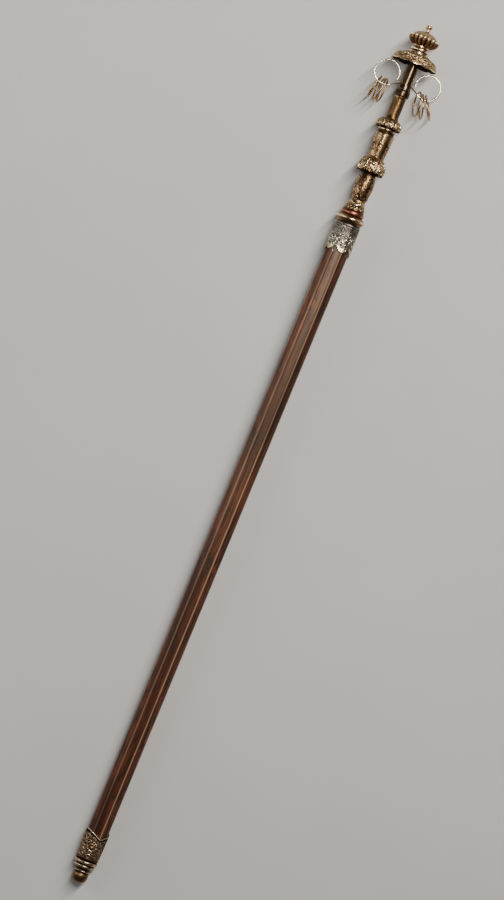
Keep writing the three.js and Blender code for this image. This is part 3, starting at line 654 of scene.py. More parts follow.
def patina_group():
    """Old metal: how bare, how brown and how rough it is, from its polish and from fine mottling."""
    group, given, outgoing = new_group("patina", "ShaderNodeTree", {
        "Polish": 0.5, "Bare": [0.8, 0.6, 0.35, 1], "Worn": [0.5, 0.35, 0.18, 1],
        "Recess": [0.05, 0.03, 0.015, 1], "Mottling": 0.3, "Smoothest": 0.2, "Roughest": 0.6,
    }, {"Colour": "Color", "Roughness": "Float", "Height": "Float"})
    place = object_place(group)
    blotch = calc(group, "SUBTRACT", noise(group, place, 55.0, 5.0, roughness=0.6), 0.5)
    fleck = calc(group, "SUBTRACT", noise(group, place, 420.0, 4.0, roughness=0.7), 0.5)
    shift = calc(group, "MULTIPLY", calc(group, "ADD", blotch, fleck), given["Mottling"])
    level = calc(group, "ADD", given["Polish"], shift)
    body = mix_colour(group, ranged(group, level, 0.12, 0.5), given["Recess"], given["Worn"])
    colour = mix_colour(group, ranged(group, level, 0.55, 0.95), body, given["Bare"])
    smoother = calc(group, "SUBTRACT", given["Smoothest"], given["Roughest"])
    part = calc(group, "MULTIPLY", ranged(group, level, 0.1, 0.9), smoother)
    rough = calc(group, "ADD", part, given["Roughest"])
    pits = noise(group, place, 900.0, 3.0, roughness=0.6)
    link(group, outgoing, ("Colour", colour), ("Roughness", rough), ("Height", pits))
    return group


def grain_group():
    """Wood grain along the shaft: long streaks, a slow figure and short pores."""
    group, given, outgoing = new_group("long grain", "ShaderNodeTree", {
        "Streaks": 260.0, "Length": 0.07, "Slant": 0.06,
    }, {"Streak": "Float", "Figure": "Float", "Pores": "Float"})
    place = object_place(group)
    turn = add(group, "ShaderNodeCombineXYZ", ("Z", given["Slant"]))
    squash = add(group, "ShaderNodeCombineXYZ", ("X", 1.0), ("Y", given["Length"]), ("Z", 1.0))
    stretched = add(group, "ShaderNodeMapping", ("Vector", place), ("Rotation", turn), ("Scale", squash))
    bend = noise(group, place, 9.0, 2.0).outputs["Color"]
    sway = add(group, "ShaderNodeVectorMath", (0, bend), ("Scale", 0.014), operation="SCALE")
    wavy = add(group, "ShaderNodeVectorMath", (0, stretched), (1, sway), operation="ADD")
    link(
        group, outgoing, ("Streak", noise(group, wavy, given["Streaks"], 6.0, roughness=0.65)),
        ("Figure", noise(group, wavy, 45.0, 3.0)), ("Pores", noise(group, stretched, 900.0, 2.0)),
    )
    return group


# Finishes

def new_material(name):
    material = bpy.data.materials.new(name)
    material.use_nodes = True
    return material, material.node_tree, material.node_tree.nodes["Principled BSDF"]


def stored(tree, label):
    return add(tree, "ShaderNodeAttribute", attribute_name=label).outputs["Fac"]


def bump(tree, shader, height):
    made = add(
        tree, "ShaderNodeBump", ("Height", height), ("Strength", BUMP_STRENGTH), ("Distance", BUMP_DISTANCE))
    link(tree, shader, ("Normal", made))


def old_metal(name, gilt=None):
    """A metal finish with polished high places and patina in its recesses."""
    bare, worn, recess, mottling, smoothest, roughest = METALS[name]
    material, tree, shader = new_material(name)
    patina = add(tree, "ShaderNodeGroup", node_tree=PATINA)
    link(
        tree, patina, ("Polish", stored(tree, "polish")), ("Bare", (*bare, 1)), ("Worn", (*worn, 1)),
        ("Recess", (*recess, 1)), ("Mottling", mottling), ("Smoothest", smoothest), ("Roughest", roughest),
    )
    colour = patina.outputs["Colour"]
    if gilt:
        colour = mix_colour(tree, stored(tree, "gilt"), colour, gilt)
    link(tree, shader, ("Base Color", colour), ("Roughness", patina.outputs["Roughness"]), ("Metallic", 1.0))
    bump(tree, shader, patina.outputs["Height"])
    return material


def rosewood_finish():
    """Dark red-brown hardwood, oiled and polished to a gloss, and paler along its arrises, where they are
    worn and where a highlight is painted.
    """
    material, tree, shader = new_material("polished rosewood")
    grain = add(tree, "ShaderNodeGroup", node_tree=GRAIN).outputs
    figure = ranged(tree, grain["Figure"], 0.38, 0.62)
    red = mix_colour(tree, figure, (0.038, 0.010, 0.006), (0.148, 0.041, 0.020))
    dark = mix_colour(tree, ranged(tree, grain["Streak"], 0.42, 0.55), (0.017, 0.006, 0.004), red)
    patchy = ranged(tree, grain["Figure"], 0.3, 0.7, 0.35, 0.85)
    # Pale arris colour: worn wood, and a painted highlight along the arris that faces the key light.
    wood = mix_colour(tree, calc(tree, "MULTIPLY", stored(tree, "arris_wear_and_painted_highlight"), patchy), dark, (0.52, 0.34, 0.20))
    rough = ranged(tree, grain["Streak"], 0.3, 0.7, 0.4, 0.26)
    link(
        tree, shader, ("Base Color", wood), ("Roughness", rough), ("Specular Tint", (1.0, 0.78, 0.58, 1)),
        ("Coat Weight", 0.05), ("Coat Roughness", 0.18),
    )
    bump(tree, shader, grain["Pores"])
    return material


def floor_finish():
    material, tree, shader = new_material("pale floor")
    shade = ranged(tree, noise(tree, object_place(tree), 2.0, 3.0, roughness=0.6), 0.3, 0.7)
    colour = mix_colour(tree, shade, (0.62, 0.61, 0.59), (0.66, 0.65, 0.63))
    link(tree, shader, ("Base Color", colour), ("Roughness", 0.9))
    return material


PATINA = patina_group()
GRAIN = grain_group()
HEAD_BRASS = old_metal("old head brass")
CANOPY_BRASS = old_metal("canopy brass lightened as painted sheen")
DARK_BRASS = old_metal("dark stem brass")
WIRE_BRASS = old_metal("worn wire brass")
COPPER = old_metal("red copper")
SLEEVE_METAL = old_metal("engraved grey metal", GILT)
FOOT_BRONZE = old_metal("dark foot bronze")
ROSEWOOD = rosewood_finish()
WIRE = wire_tree()
BEAD_ROW = bead_row_tree()
EIGHT_SIDED = eight_sided_tree()


# Foot

def foot_tip():
    """Turned foot tip: a rounded end, a thin ring, a cove and two stout rings."""
    low, high = span("foot_tip")
    end = [
        (TIP_END_RADIUS * 0.45, TIP_END_LENGTH * 0.03),
        (TIP_END_RADIUS * 0.84, TIP_END_LENGTH * 0.24),
        (TIP_END_RADIUS, TIP_END_LENGTH * 0.62),
        (TIP_END_RADIUS * 0.97, TIP_END_LENGTH * 0.86),
        (TIP_NECK_RADIUS, TIP_END_LENGTH),
    ]
    cove_radius, cove_length = TIP_COVE
    groove_radius, groove_length = TIP_GROOVE
    small = TIP_END_LENGTH + TIP_NECK_LENGTH
    cove = small + TIP_SMALL_RING[1] + cove_length / 2
    middle = cove + cove_length / 2
    groove = middle + TIP_MIDDLE_RING[1] + groove_length / 2
    wide = groove + groove_length / 2
    rings = ((small, TIP_SMALL_RING), (middle, TIP_MIDDLE_RING), (wide, TIP_WIDE_RING))
    crests = [(station + length / 2, length * 0.6) for station, (_, length) in rings]
    grooves = [small - TIP_NECK_LENGTH / 2, cove, groove, high]

    def ring(station, size, beside):
        radius, length = size
        return bead(radius, station, length, radius - beside)

    profile = [
        (0, low),
        *sweep(end),
        *ring(small, TIP_SMALL_RING, TIP_NECK_RADIUS),
        (cove_radius, cove),
        *ring(middle, TIP_MIDDLE_RING, groove_radius),
        *ring(wide, TIP_WIDE_RING, groove_radius),
        (groove_radius, high - 0.8),
        (0, high),
    ]

    def carve(angle, station, radius):
        tool_lines = 0.5 + 0.5 * np.sin(station * 9)
        polish = 0.42 + 0.06 * tool_lines
        for crest, half in crests:
            polish += 0.4 * ridge(station - crest, half)
        for hollow in grooves:
            polish -= 0.5 * ridge(station - hollow, 1.6)
        return 0.02 * tool_lines, polish

    return turned("foot_tip", profile, carve)


def foot_ferrule():
    """Ferrule with a wavy mouth: a raised lip, and scales with small curls below it."""
    low, _ = span("foot_ferrule")
    mouth = low + FERRULE_LOW_LENGTH
    waist = low + FERRULE_LOW_LENGTH * FERRULE_WAIST_SHARE
    floor = low + FERRULE_FLOOR
    mouth_radius = bore_radius(mouth) + FERRULE_WALL
    outer = [
        (0, low),
        (FERRULE_LOWER_RADIUS - 0.8, low),
        (FERRULE_LOWER_RADIUS, low + 0.8),
        (max(FERRULE_WAIST_RADIUS, bore_radius(waist) + FERRULE_WALL), waist),
        (mouth_radius + 0.2, mouth - 3),
        (mouth_radius + 0.4, mouth - 0.6),
        (mouth_radius, mouth),
    ]
    inner = [(bore_radius(station), station) for station in (mouth, waist, floor)]

    def eight_sided(angle, station):
        return smooth(station, low + 2, waist) * mouth_radius * (octagon_share(angle) - 1)

    def raise_mouth(angle, station):
        wave = FERRULE_WAVE * np.abs(np.sin(angle - FERRULE_VALLEY_ANGLE))
        return smooth(station, waist, mouth) * wave

    def carve(angle, station, radius):
        turn = angle / FULL_TURN
        lip = band(station, mouth - 2.2, mouth + 0.5, 0.7)
        groove = band(station, mouth - 3.6, mouth - 2.2, 0.5)
        foot_line = ridge(station - low - 3, 1.3)
        rows = (station - low) / FERRULE_SCALE_LENGTH
        across = off_whole(FERRULE_SCALES * turn + 0.5 * (np.floor(rows) % 2))
        arc = np.hypot(across * 1.7, rows - np.floor(rows) - 0.1)
        scales = smooth(0.86 - arc, 0, 0.12) * (1 - 0.5 * arc) + 0.5 * ridge(arc - 0.45, 0.13)
        field = band(station, low + 4.4, mouth - 4, 1)
        curls = scrollwork(FERRULE_CURLS * turn, (station - low) / FERRULE_CURL_LENGTH + 0.3, 1.15)
        pattern = np.maximum(0.55 * scales, curls)
        relief = 0.35 * lip - 0.25 * groove + 0.4 * foot_line + field * 0.9 * (pattern - 0.4)
        return relief, 0.12 + 0.8 * lip + 0.35 * foot_line + 0.75 * field * pattern

    return turned("foot_ferrule", outer, carve, raise_mouth, eight_sided, [*inner, (0, floor)])


# Shaft

def path_curve(name, points, cyclic=False):
    """A straight-stepped curve through points, for a tree to follow."""
    curve = bpy.data.curves.new(name, "CURVE")
    curve.dimensions = "3D"
    spline = curve.splines.new("POLY")
    spline.points.add(len(points) - 1)
    for corner, point in zip(spline.points, points):
        corner.co = (*point, 1)
    spline.use_cyclic_u = cyclic
    return curve


def shaft():
    """Eight-sided shaft, tapered towards the foot, its arrises paler: worn, and painted with a highlight,
    strongest on the top facet's arris on the key light's side.
    """
    axis = path_curve("shaft", [(0, station, 0) for station in span("shaft")])
    bar = through_tree(
        axis, EIGHT_SIDED, half_width=SHAFT_FOOT_HALF_WIDTH,
        head_share=SHAFT_HEAD_HALF_WIDTH / SHAFT_FOOT_HALF_WIDTH,
        rounding=SHAFT_ARRIS_ROUNDING, material=ROSEWOOD,
    )
    bar.shade_smooth()
    bar.set_sharp_from_angle(angle=math.radians(60))
    corners = np.array([corner.co for corner in bar.vertices])
    arris = np.arctan2(corners[:, 0], corners[:, 2]) / (FULL_TURN / 8) - 0.5
    # Paler arrises, worn and painted with a highlight: full on the top facet's arris towards the key light
    # (+X), 0.45 on the others.
    store(bar, "arris_wear_and_painted_highlight", (1 - smooth(apart(arris), 0.02, 0.1)) * np.where(np.round(arris) == 0, 1, 0.45))
    return bar


# Sleeve, flange and copper ring

def tongue_edges(angle):
    """How far the long tongues and the narrow ones between them hang below the sleeve's edge."""
    turn = TONGUE_COUNT * (angle - TONGUE_ANGLE) / 2
    return -TONGUE_LENGTH * np.abs(np.cos(turn)), -UNDER_TONGUE_LENGTH * np.abs(np.sin(turn)) ** 3


def socket_sleeve():
    """Sleeve with engraved curls, gilt tongues along its lower edge and narrower ones between them."""
    _, high = span("socket_sleeve")
    low = high - SLEEVE_LENGTH
    middle = high - SLEEVE_LENGTH / 2
    ceiling = high - SLEEVE_TOP_PLATE
    bore = bore_radius(low)
    edge = bore + SLEEVE_WALL
    profile = [
        (0, ceiling),
        (bore_radius(ceiling), ceiling),
        (bore, low),
        (edge, low),
        (edge + 0.3, low + 0.4),
        (edge + 0.3, low + 3),
        ((edge + SLEEVE_TOP_RADIUS) / 2, middle),
        (SLEEVE_TOP_RADIUS, high - 1),
        (SLEEVE_TOP_RADIUS - 0.6, high),
        (0, high),
    ]

    def eight_sided(angle, station):
        softer = SLEEVE_FACETING + 0.25 * (1 - smooth(station, low - 2, middle))
        fades = 1 - smooth(station, high - 3, high)
        return edge * softer * fades * (octagon_share(angle) - 1)

    def hang(angle, station):
        share = 1 - smooth(station, low, low + SLEEVE_LENGTH * HANG_SHARE)
        return share * np.minimum(*tongue_edges(angle))

    def carve(angle, station, radius):
        turn = angle / FULL_TURN
        tongue_edge, under_edge = tongue_edges(angle)
        true_station = station + hang(angle, station)
        height = true_station - low
        over = true_station - (low + tongue_edge)
        under = true_station - (low + under_edge)
        on_top = smooth(over, -0.2, 0.5)
        border = band(over, -0.1, 2.0, 0.6)
        under_border = band(under, -0.3, 1.2, 0.4) * (1 - on_top)
        second_line = ridge(over - 3.4, 0.7)
        field = band(over, 5.5, SLEEVE_LENGTH, 2) * on_top * (station < high - 4)
        bold = 1 - smooth(true_station, low + 17, low + 24)
        curls = scrollwork(BOLD_CURLS * turn + 0.4, height / BOLD_CURL_LENGTH + 0.2, 1.25, 0.28)
        fine_curls = scrollwork(FINE_CURLS * turn, height / FINE_CURL_LENGTH, 1.2, 0.26)
        top_band = ridge(station - (high - 2.6), 1.5)
        lines = ridge(station - (high - 6.2), 0.6)
        pattern = np.maximum(bold * curls, (0.5 - 0.2 * bold) * fine_curls)
        relief = 0.75 * border + 0.35 * under_border + 0.2 * second_line + 0.9 * field * (pattern - 0.3)
        relief += 0.5 * top_band + 0.25 * lines - 0.45 * (1 - on_top) * (over < 0)
        # Painted highlight: the border and tongues are polished and gilt most on the top side, towards the
        # key light, and dimmer round the sides, though the tongues are all alike.
        painted_top_highlight = 0.6 + 0.4 * np.cos(angle - TONGUE_ANGLE)
        tongue = painted_top_highlight * on_top * (1 - smooth(over, 5.5, 7.5)) * smooth(-tongue_edge, 2, 5)
        polish = (
            0.26 + 0.4 * painted_top_highlight * border + 0.75 * field * pattern + 0.25 * top_band
            + 0.3 * lines + 0.5 * tongue + 0.3 * under_border
        )
        gilt = np.clip(0.5 * border + 0.3 * under_border + 0.75 * tongue + 0.2 * bold * curls * on_top, 0, 1)
        outside = radius > bore + 0.6
        capped = station < high - 0.05
        return relief * outside * capped, np.where(outside, polish, UNSEEN_POLISH), gilt * outside

    return turned("socket_sleeve", profile, carve, hang, eight_sided)


def flange_disc():
    """Plain flange with a stout rounded edge, a shallow crown and turned lines."""
    low, high = span("flange_disc")
    edge_low = low + FLANGE_CONE
    edge_high = edge_low + FLANGE_EDGE
    crown = [
        (FLANGE_RADIUS - 1.2, edge_high + 0.2),
        (FLANGE_CROWN_RADIUS, edge_high + 1.2),
        (FLANGE_TOP_RADIUS, high),
    ]
    profile = [
        (0, low),
        (FLANGE_FOOT_RADIUS, low),
        ((FLANGE_FOOT_RADIUS + FLANGE_RADIUS) / 2 - 0.6, low + FLANGE_CONE * 0.62),
        (FLANGE_RADIUS - 0.9, edge_low - 0.3),
        *bead(FLANGE_RADIUS, edge_low, FLANGE_EDGE, 0.9),
        *sweep(crown, 8),
        (0, high),
    ]

    def carve(angle, station, radius):
        rim = band(station, edge_low - 0.4, edge_high + 0.8, 0.8)
        lines = ridge(station - (low + 2.2), 0.5) + ridge(station - (edge_high + 1.7), 0.5)
        return 0.12 * lines, 0.35 + 0.6 * rim + 0.2 * lines

    return turned("flange_disc", profile, carve)


def copper_ring():
    low, high = span("copper_ring")
    profile = [(0, low), *bead(COPPER_RADIUS, low, high - low, COPPER_BULGE, 16), (0, high)]

    def carve(angle, station, radius):
        return 0 * angle, 0.3 + 0.35 * band(station, low + 1.5, high - 1.5, 2)

    return turned("copper_ring", profile, carve)


# Column

def petal_swell(angle):
    """1 on the middle of a knop's petal and 0 between two petals."""
    return np.abs(np.cos(PETAL_COUNT * angle / 2))


def knop_profile(low, length, neck_radius, lip_radius, radius, top_radius):
    """Outline of a bell-shaped knop from its lip's underside up."""
    bell = [
        (lip_radius - 0.4, low + 0.3),
        (lip_radius, low + 1.4),
        (radius, low + length * 0.32),
        (radius * 0.95, low + length * 0.55),
        ((radius + top_radius) / 2, low + length * 0.8),
        (top_radius, low + length),
    ]
    return [(neck_radius, low + 0.4), (lip_radius - 1.5, low), *sweep(bell)]


def knop_relief(angle, rise):
    """Petals, ribs, veins and curls of a knop: rise runs from 0 at its lip to 1 at its top."""
    swell = petal_swell(angle)
    across = off_whole(angle * PETAL_COUNT / FULL_TURN)
    fade = band(rise, -0.1, 0.97, 0.2)
    outline = ridge(swell - 0.30, 0.16) * (1 - smooth(rise, 0.75, 0.95))
    rib = ridge(across, 0.045) * band(rise, 0.05, 0.8, 0.1)
    veins = ridge(apart(3 * (rise - 0.9 * np.abs(across))), 0.24) * smooth(swell, 0.4, 0.6)
    curl_reach = np.hypot((np.abs(across) - 0.24) * 3.6, (rise - 0.38) * 2.6)
    curl_turn = np.arctan2(rise - 0.38, (np.abs(across) - 0.24)) / FULL_TURN
    curls = ridge(apart(1.6 * curl_reach - curl_turn), 0.27) * (1 - smooth(curl_reach, 0.75, 0.95))
    pattern = np.clip(np.maximum(outline, np.maximum(rib, np.maximum(0.7 * veins, curls))), 0, 1)
    return fade, smooth(swell, 0.12, 0.5), pattern


def column():
    """Base, chevron cord, vase, lower knop, middle tube, upper knop and upper tube, cast as one."""
    low, high = span("column")
    marks = [low]
    for length in (
        BASE_LENGTH, CHEVRON_LENGTH, VASE_LENGTH, LOWER_KNOP_LENGTH, MIDDLE_TUBE_LENGTH,
        KNOP_NECK_LENGTH, KNOP_RING_LENGTH, UPPER_KNOP_LENGTH,
    ):
        marks.append(marks[-1] + length)
    base, cord, vase, lower_knop, middle_tube, neck, ring, upper_knop, upper_tube = marks
    knops = (
        (lower_knop, LOWER_KNOP_LENGTH, LOWER_KNOP_LIP_RADIUS, 13, 3.2),
        (upper_knop, UPPER_KNOP_LENGTH, UPPER_KNOP_LIP_RADIUS, 8, 2.6),
    )
    vase_outline = [
        (VASE_FOOT_RADIUS, vase + VASE_LENGTH * 0.07),
        ((VASE_FOOT_RADIUS + VASE_BELLY_RADIUS) / 2, vase + VASE_LENGTH * 0.2),
        (VASE_BELLY_RADIUS, vase + VASE_LENGTH * 0.5),
        (VASE_BELLY_RADIUS * 0.92, vase + VASE_LENGTH * 0.78),
        (VASE_NECK_RADIUS, vase + VASE_LENGTH * 0.97),
    ]
    profile = [
        (0, base),
        (BASE_RADIUS, base),
        (BASE_RADIUS, base + BASE_LENGTH * 0.3),
        (BASE_TOP_RADIUS, base + BASE_LENGTH * 0.75),
        *bead(CHEVRON_RADIUS, cord, CHEVRON_LENGTH, 1.8),
        *sweep(vase_outline),
        *knop_profile(lower_knop, LOWER_KNOP_LENGTH, VASE_NECK_RADIUS, LOWER_KNOP_LIP_RADIUS,
                      LOWER_KNOP_RADIUS, LOWER_KNOP_TOP_RADIUS),
        ((LOWER_KNOP_TOP_RADIUS + MIDDLE_TUBE_TOP_RADIUS) / 2, middle_tube + MIDDLE_TUBE_LENGTH * 0.3),
        (MIDDLE_TUBE_TOP_RADIUS, middle_tube + MIDDLE_TUBE_LENGTH * 0.7),
        (MIDDLE_TUBE_TOP_RADIUS + 0.4, neck - 1.2),
        (MIDDLE_TUBE_TOP_RADIUS, neck - 0.4),
        (KNOP_NECK_RADIUS, neck),
        *bead(KNOP_RING_RADIUS, ring, KNOP_RING_LENGTH, KNOP_RING_RADIUS - KNOP_NECK_RADIUS),
        *knop_profile(upper_knop, UPPER_KNOP_LENGTH, KNOP_NECK_RADIUS, UPPER_KNOP_LIP_RADIUS,
                      UPPER_KNOP_RADIUS, UPPER_KNOP_TOP_RADIUS),
        (UPPER_TUBE_RADIUS, upper_tube + (high - upper_tube) * 0.12),
        (UPPER_TUBE_RADIUS, upper_tube + (high - upper_tube) * 0.9),
        (UPPER_TUBE_RADIUS + UPPER_TUBE_FLARE, high),
        (0, high),
    ]

    def lift(angle, station):
        moved = -CHEVRON_WAVE * np.cos(CHEVRON_COUNT * angle) * band(station, cord - 0.5, vase + 0.5, 1)
        for knop, _, _, reach, _ in knops:
            near_lip = smooth(station, knop - 0.8, knop) * (1 - smooth(station, knop + 1.4, knop + reach))
            moved -= PETAL_DROP * (petal_swell(angle) - 0.5) * near_lip
        return moved

    def carve_base(angle, station):
        fret = np.cos(1.5 * BASE_BLOCKS * angle) * np.sign(np.sin(math.pi * (station - base - 1.6) / 3.1))
        blocks = smooth(fret, -0.3, 0.3) * band(station, base + 1.8, base + 7.6, 0.5)
        edges = ridge(station - base - 0.9, 0.8) + ridge(station - base - 8.4, 0.8)
        in_cord = band(station, cord - 0.3, vase + 0.3, 0.5)
        twist = np.cos(36 * angle + 2.2 * (station - cord))
        polish = 0.35 * blocks + 0.4 * edges - 0.25 * band(station, base, cord, 0.3) * (1 - blocks)
        return 0.6 * blocks + 0.3 * edges + in_cord * 0.12 * twist, polish + in_cord * (0.35 + 0.1 * twist)

    def carve_vase(turn, station):
        in_vase = band(station, vase + 4, lower_knop - 3, 2)
        curls = scrollwork(7 * turn + 0.3, (station - vase) / 15 + 0.45)
        lappets = leaf(8 * turn, (station - vase - 2) / 10, 5)
        polish = in_vase * (0.55 * curls - 0.22) + 0.4 * lappets * (1 - in_vase)
        return in_vase * 0.17 * (curls - 0.5) + 0.5 * lappets, polish

    def carve_tubes(turn, station):
        tips = leaf(6 * turn, (neck - 1.5 - station) / 17)
        between = leaf(6 * turn + 0.5, (neck - 1.5 - station) / 11)
        lower_tips = leaf(8 * turn, (station - middle_tube) / 10)
        in_tube = band(station, middle_tube, neck - 1, 0.6)
        worked = np.maximum(np.maximum(tips, 0.8 * between), lower_tips)
        curls = scrollwork(7 * turn, (station - middle_tube) / 13 - 0.4, 1.2, 0.28)
        worked = np.maximum(worked, 0.8 * curls * (1 - smooth(worked, 0.1, 0.3)))
        in_upper = band(station, upper_tube + 3, high - 2, 2)
        faint = scrollwork(6 * turn, (station - upper_tube) / 10.5, 1.6, 0.2)
        relief = in_tube * 0.16 * (worked - 0.5) + in_upper * 0.16 * faint
        return relief, in_tube * (0.65 * worked - 0.2) + in_upper * (0.2 * faint - 0.12)

    def carve(angle, station, radius):
        turn = angle / FULL_TURN
        necks = band(station, neck, ring, 0.5) + band(station, base - 1, base + 0.5, 0.2)
        relief = 0
        polish = 0.38 - 0.25 * necks + 0.35 * band(station, ring + 0.8, upper_knop - 0.8, 0.8)
        polish += 0.25 * ridge(station - high + 1.2, 1.2)
        for out, shine in (carve_base(angle, station), carve_vase(turn, station), carve_tubes(turn, station)):
            relief = relief + out
            polish += shine
        for knop, length, _, _, _ in knops:
            fade, petal, pattern = knop_relief(angle, (station - knop) / length)
            in_knop = band(station, knop - 0.2, knop + length, 0.4)
            relief += in_knop * fade * (PETAL_HEIGHT * (petal - 0.5) + 1.0 * (pattern - 0.4))
            polish += in_knop * (0.15 + fade * (0.75 * pattern - 0.3)) - 0.5 * ridge(station - knop, 2.6)
        return relief, polish

    body = turned("column", profile, carve, lift)
    for knop, _, lip_radius, _, above_lip in knops:
        body = through_tree(
            body, BEAD_ROW, count=3 * PETAL_COUNT, row_radius=lip_radius + 0.6, station=knop + above_lip,
            bead_size=KNOP_BEAD_SIZE, material=HEAD_BRASS,
        )
    return body


# Collar, stem, canopy and bud

def stem_collar():
    low, high = span("stem_collar")
    profile = [
        (0, low),
        (COLLAR_RADIUS - COLLAR_BEVEL, low),
        (COLLAR_RADIUS, low + COLLAR_BEVEL),
        (COLLAR_RADIUS * 0.97, high - COLLAR_BEVEL),
        (STEM_FOOT_RADIUS, high),
        (0, high),
    ]

    def carve(angle, station, radius):
        lines = ridge(station - low - 2.6, 0.5) + ridge(station - high + 2.6, 0.5)
        return -0.15 * lines, 0.4 - 0.2 * lines

    return turned("stem_collar", profile, carve)


def canopy_stem():
    low, high = span("canopy_stem")
    profile = [
        (0, low),
        (STEM_FOOT_RADIUS, low),
        (STEM_FOOT_RADIUS, low + 1.5),
        (STEM_RADIUS, low + STEM_FOOT_FLARE),
        (STEM_RADIUS, (low + high) / 2),
        (STEM_HEAD_RADIUS, high),
        (0, high),
    ]

    def carve(angle, station, radius):
        line = ridge(station - low - 1, 0.8)
        return 0.1 * line, 0.5 + 0.2 * line

    return turned("canopy_stem", profile, carve)


def canopy():
    """Canopy: leafy flare, drooping skirt with a thin lip, and a plain hollow under it."""
    rim, high = span("canopy")
    shoulder = rim + CANOPY_SKIRT
    neck = shoulder + CANOPY_FLARE
    ceiling = shoulder - CANOPY_WALL + CANOPY_FLARE / 3
    rim_high = rim + CANOPY_RIM_EDGE
    skirt_middle = (CANOPY_RIM_RADIUS + CANOPY_SHOULDER_RADIUS) / 2
    halfway = rim + CANOPY_SKIRT * 0.45
    step = neck + STEP_LENGTH
    groove = step + STEP_GROOVE_LENGTH
    bell = [
        (CANOPY_RIM_RADIUS - 0.8, rim_high + 0.3),
        (skirt_middle, halfway),
        (CANOPY_SHOULDER_RADIUS, shoulder),
        (CANOPY_SHOULDER_RADIUS * 0.87, shoulder + CANOPY_FLARE * 0.3),
        (CANOPY_SHOULDER_RADIUS * 0.67, shoulder + CANOPY_FLARE * 0.6),
        (STEP_RADIUS, neck),
    ]
    profile = [
        (0, ceiling),
        (CANOPY_CAVITY_RADIUS, ceiling),
        (CANOPY_SHOULDER_RADIUS - CANOPY_WALL, shoulder - CANOPY_WALL),
        (skirt_middle - CANOPY_WALL, halfway),
        (CANOPY_RIM_RADIUS - CANOPY_RIM_EDGE, rim),
        (CANOPY_RIM_RADIUS, rim),
        (CANOPY_RIM_RADIUS, rim_high),
        *sweep(bell, 40),
        (STEP_RADIUS, step),
        (STEP_GROOVE_RADIUS, step + 0.2),
        *bead(TORUS_RADIUS, groove, high - groove, TORUS_BULGE),
        (0, high),
    ]

    def on_outside(station, radius):
        wall = np.interp(
            station, [rim, halfway, shoulder], [CANOPY_RIM_RADIUS, skirt_middle, CANOPY_SHOULDER_RADIUS])
        above_ceiling = (station > ceiling + 0.1) | (radius > wall - CANOPY_WALL / 2)
        above_rim = (station > rim_high) | (radius > CANOPY_RIM_RADIUS - 0.9)
        return (radius > STEP_GROOVE_RADIUS - 1) & above_rim & above_ceiling

    def carve(angle, station, radius):
        turn = CANOPY_LEAVES * angle / FULL_TURN
        outside = on_outside(station, radius)
        flare_share = (CANOPY_RIM_RADIUS - radius) / (CANOPY_RIM_RADIUS - STEP_RADIUS)
        leaves = leaf(turn, (1.02 - flare_share) * 1.15, 4)
        run = (station - rim) + (CANOPY_RIM_RADIUS - radius)
        curls = scrollwork(2 * turn + 0.5, run / CANOPY_CURL_LENGTH + 0.1, 1.0, 0.24)
        lappets = leaf(2 * turn, (station - rim_high) / CANOPY_SKIRT)
        skirt = band(station, rim_high + 0.6, shoulder + 1, 1)
        lip = band(station, rim - 1, rim_high + 0.5, 0.4)
        flare = band(station, shoulder - 1, neck, 1)
        steps = band(station, groove, high, 1) + band(station, neck - 0.2, step + 0.1, 0.3)
        pattern = np.maximum(0.8 * leaves, curls)
        skirt_pattern = np.maximum(0.75 * lappets, curls)
        swell = np.cos(CANOPY_LEAVES * angle) * band(station, rim_high + 0.5, neck, 2)
        relief = CANOPY_LEAF_HEIGHT * swell
        relief += 1.2 * flare * (pattern - 0.4) + 1.4 * skirt * (skirt_pattern - 0.4)
        polish = 0.26 + 0.65 * lip + flare * (0.8 * pattern - 0.14) + skirt * (0.85 * skirt_pattern - 0.2)
        return relief * outside, np.where(outside, polish + 0.6 * steps, 0.12)

    def lift(angle, station):
        scallop = np.abs(np.cos(CANOPY_LEAVES * angle / 2))
        return (1 - smooth(station, rim_high, rim_high + 5)) * CANOPY_SCALLOP * (1 - scallop)

    return through_tree(
        turned("canopy", profile, carve, lift), BEAD_ROW, count=4 * CANOPY_LEAVES,
        row_radius=skirt_middle + 1.4, station=rim_high + 1.5, bead_size=CANOPY_BEAD_SIZE,
        material=CANOPY_BRASS,
    )


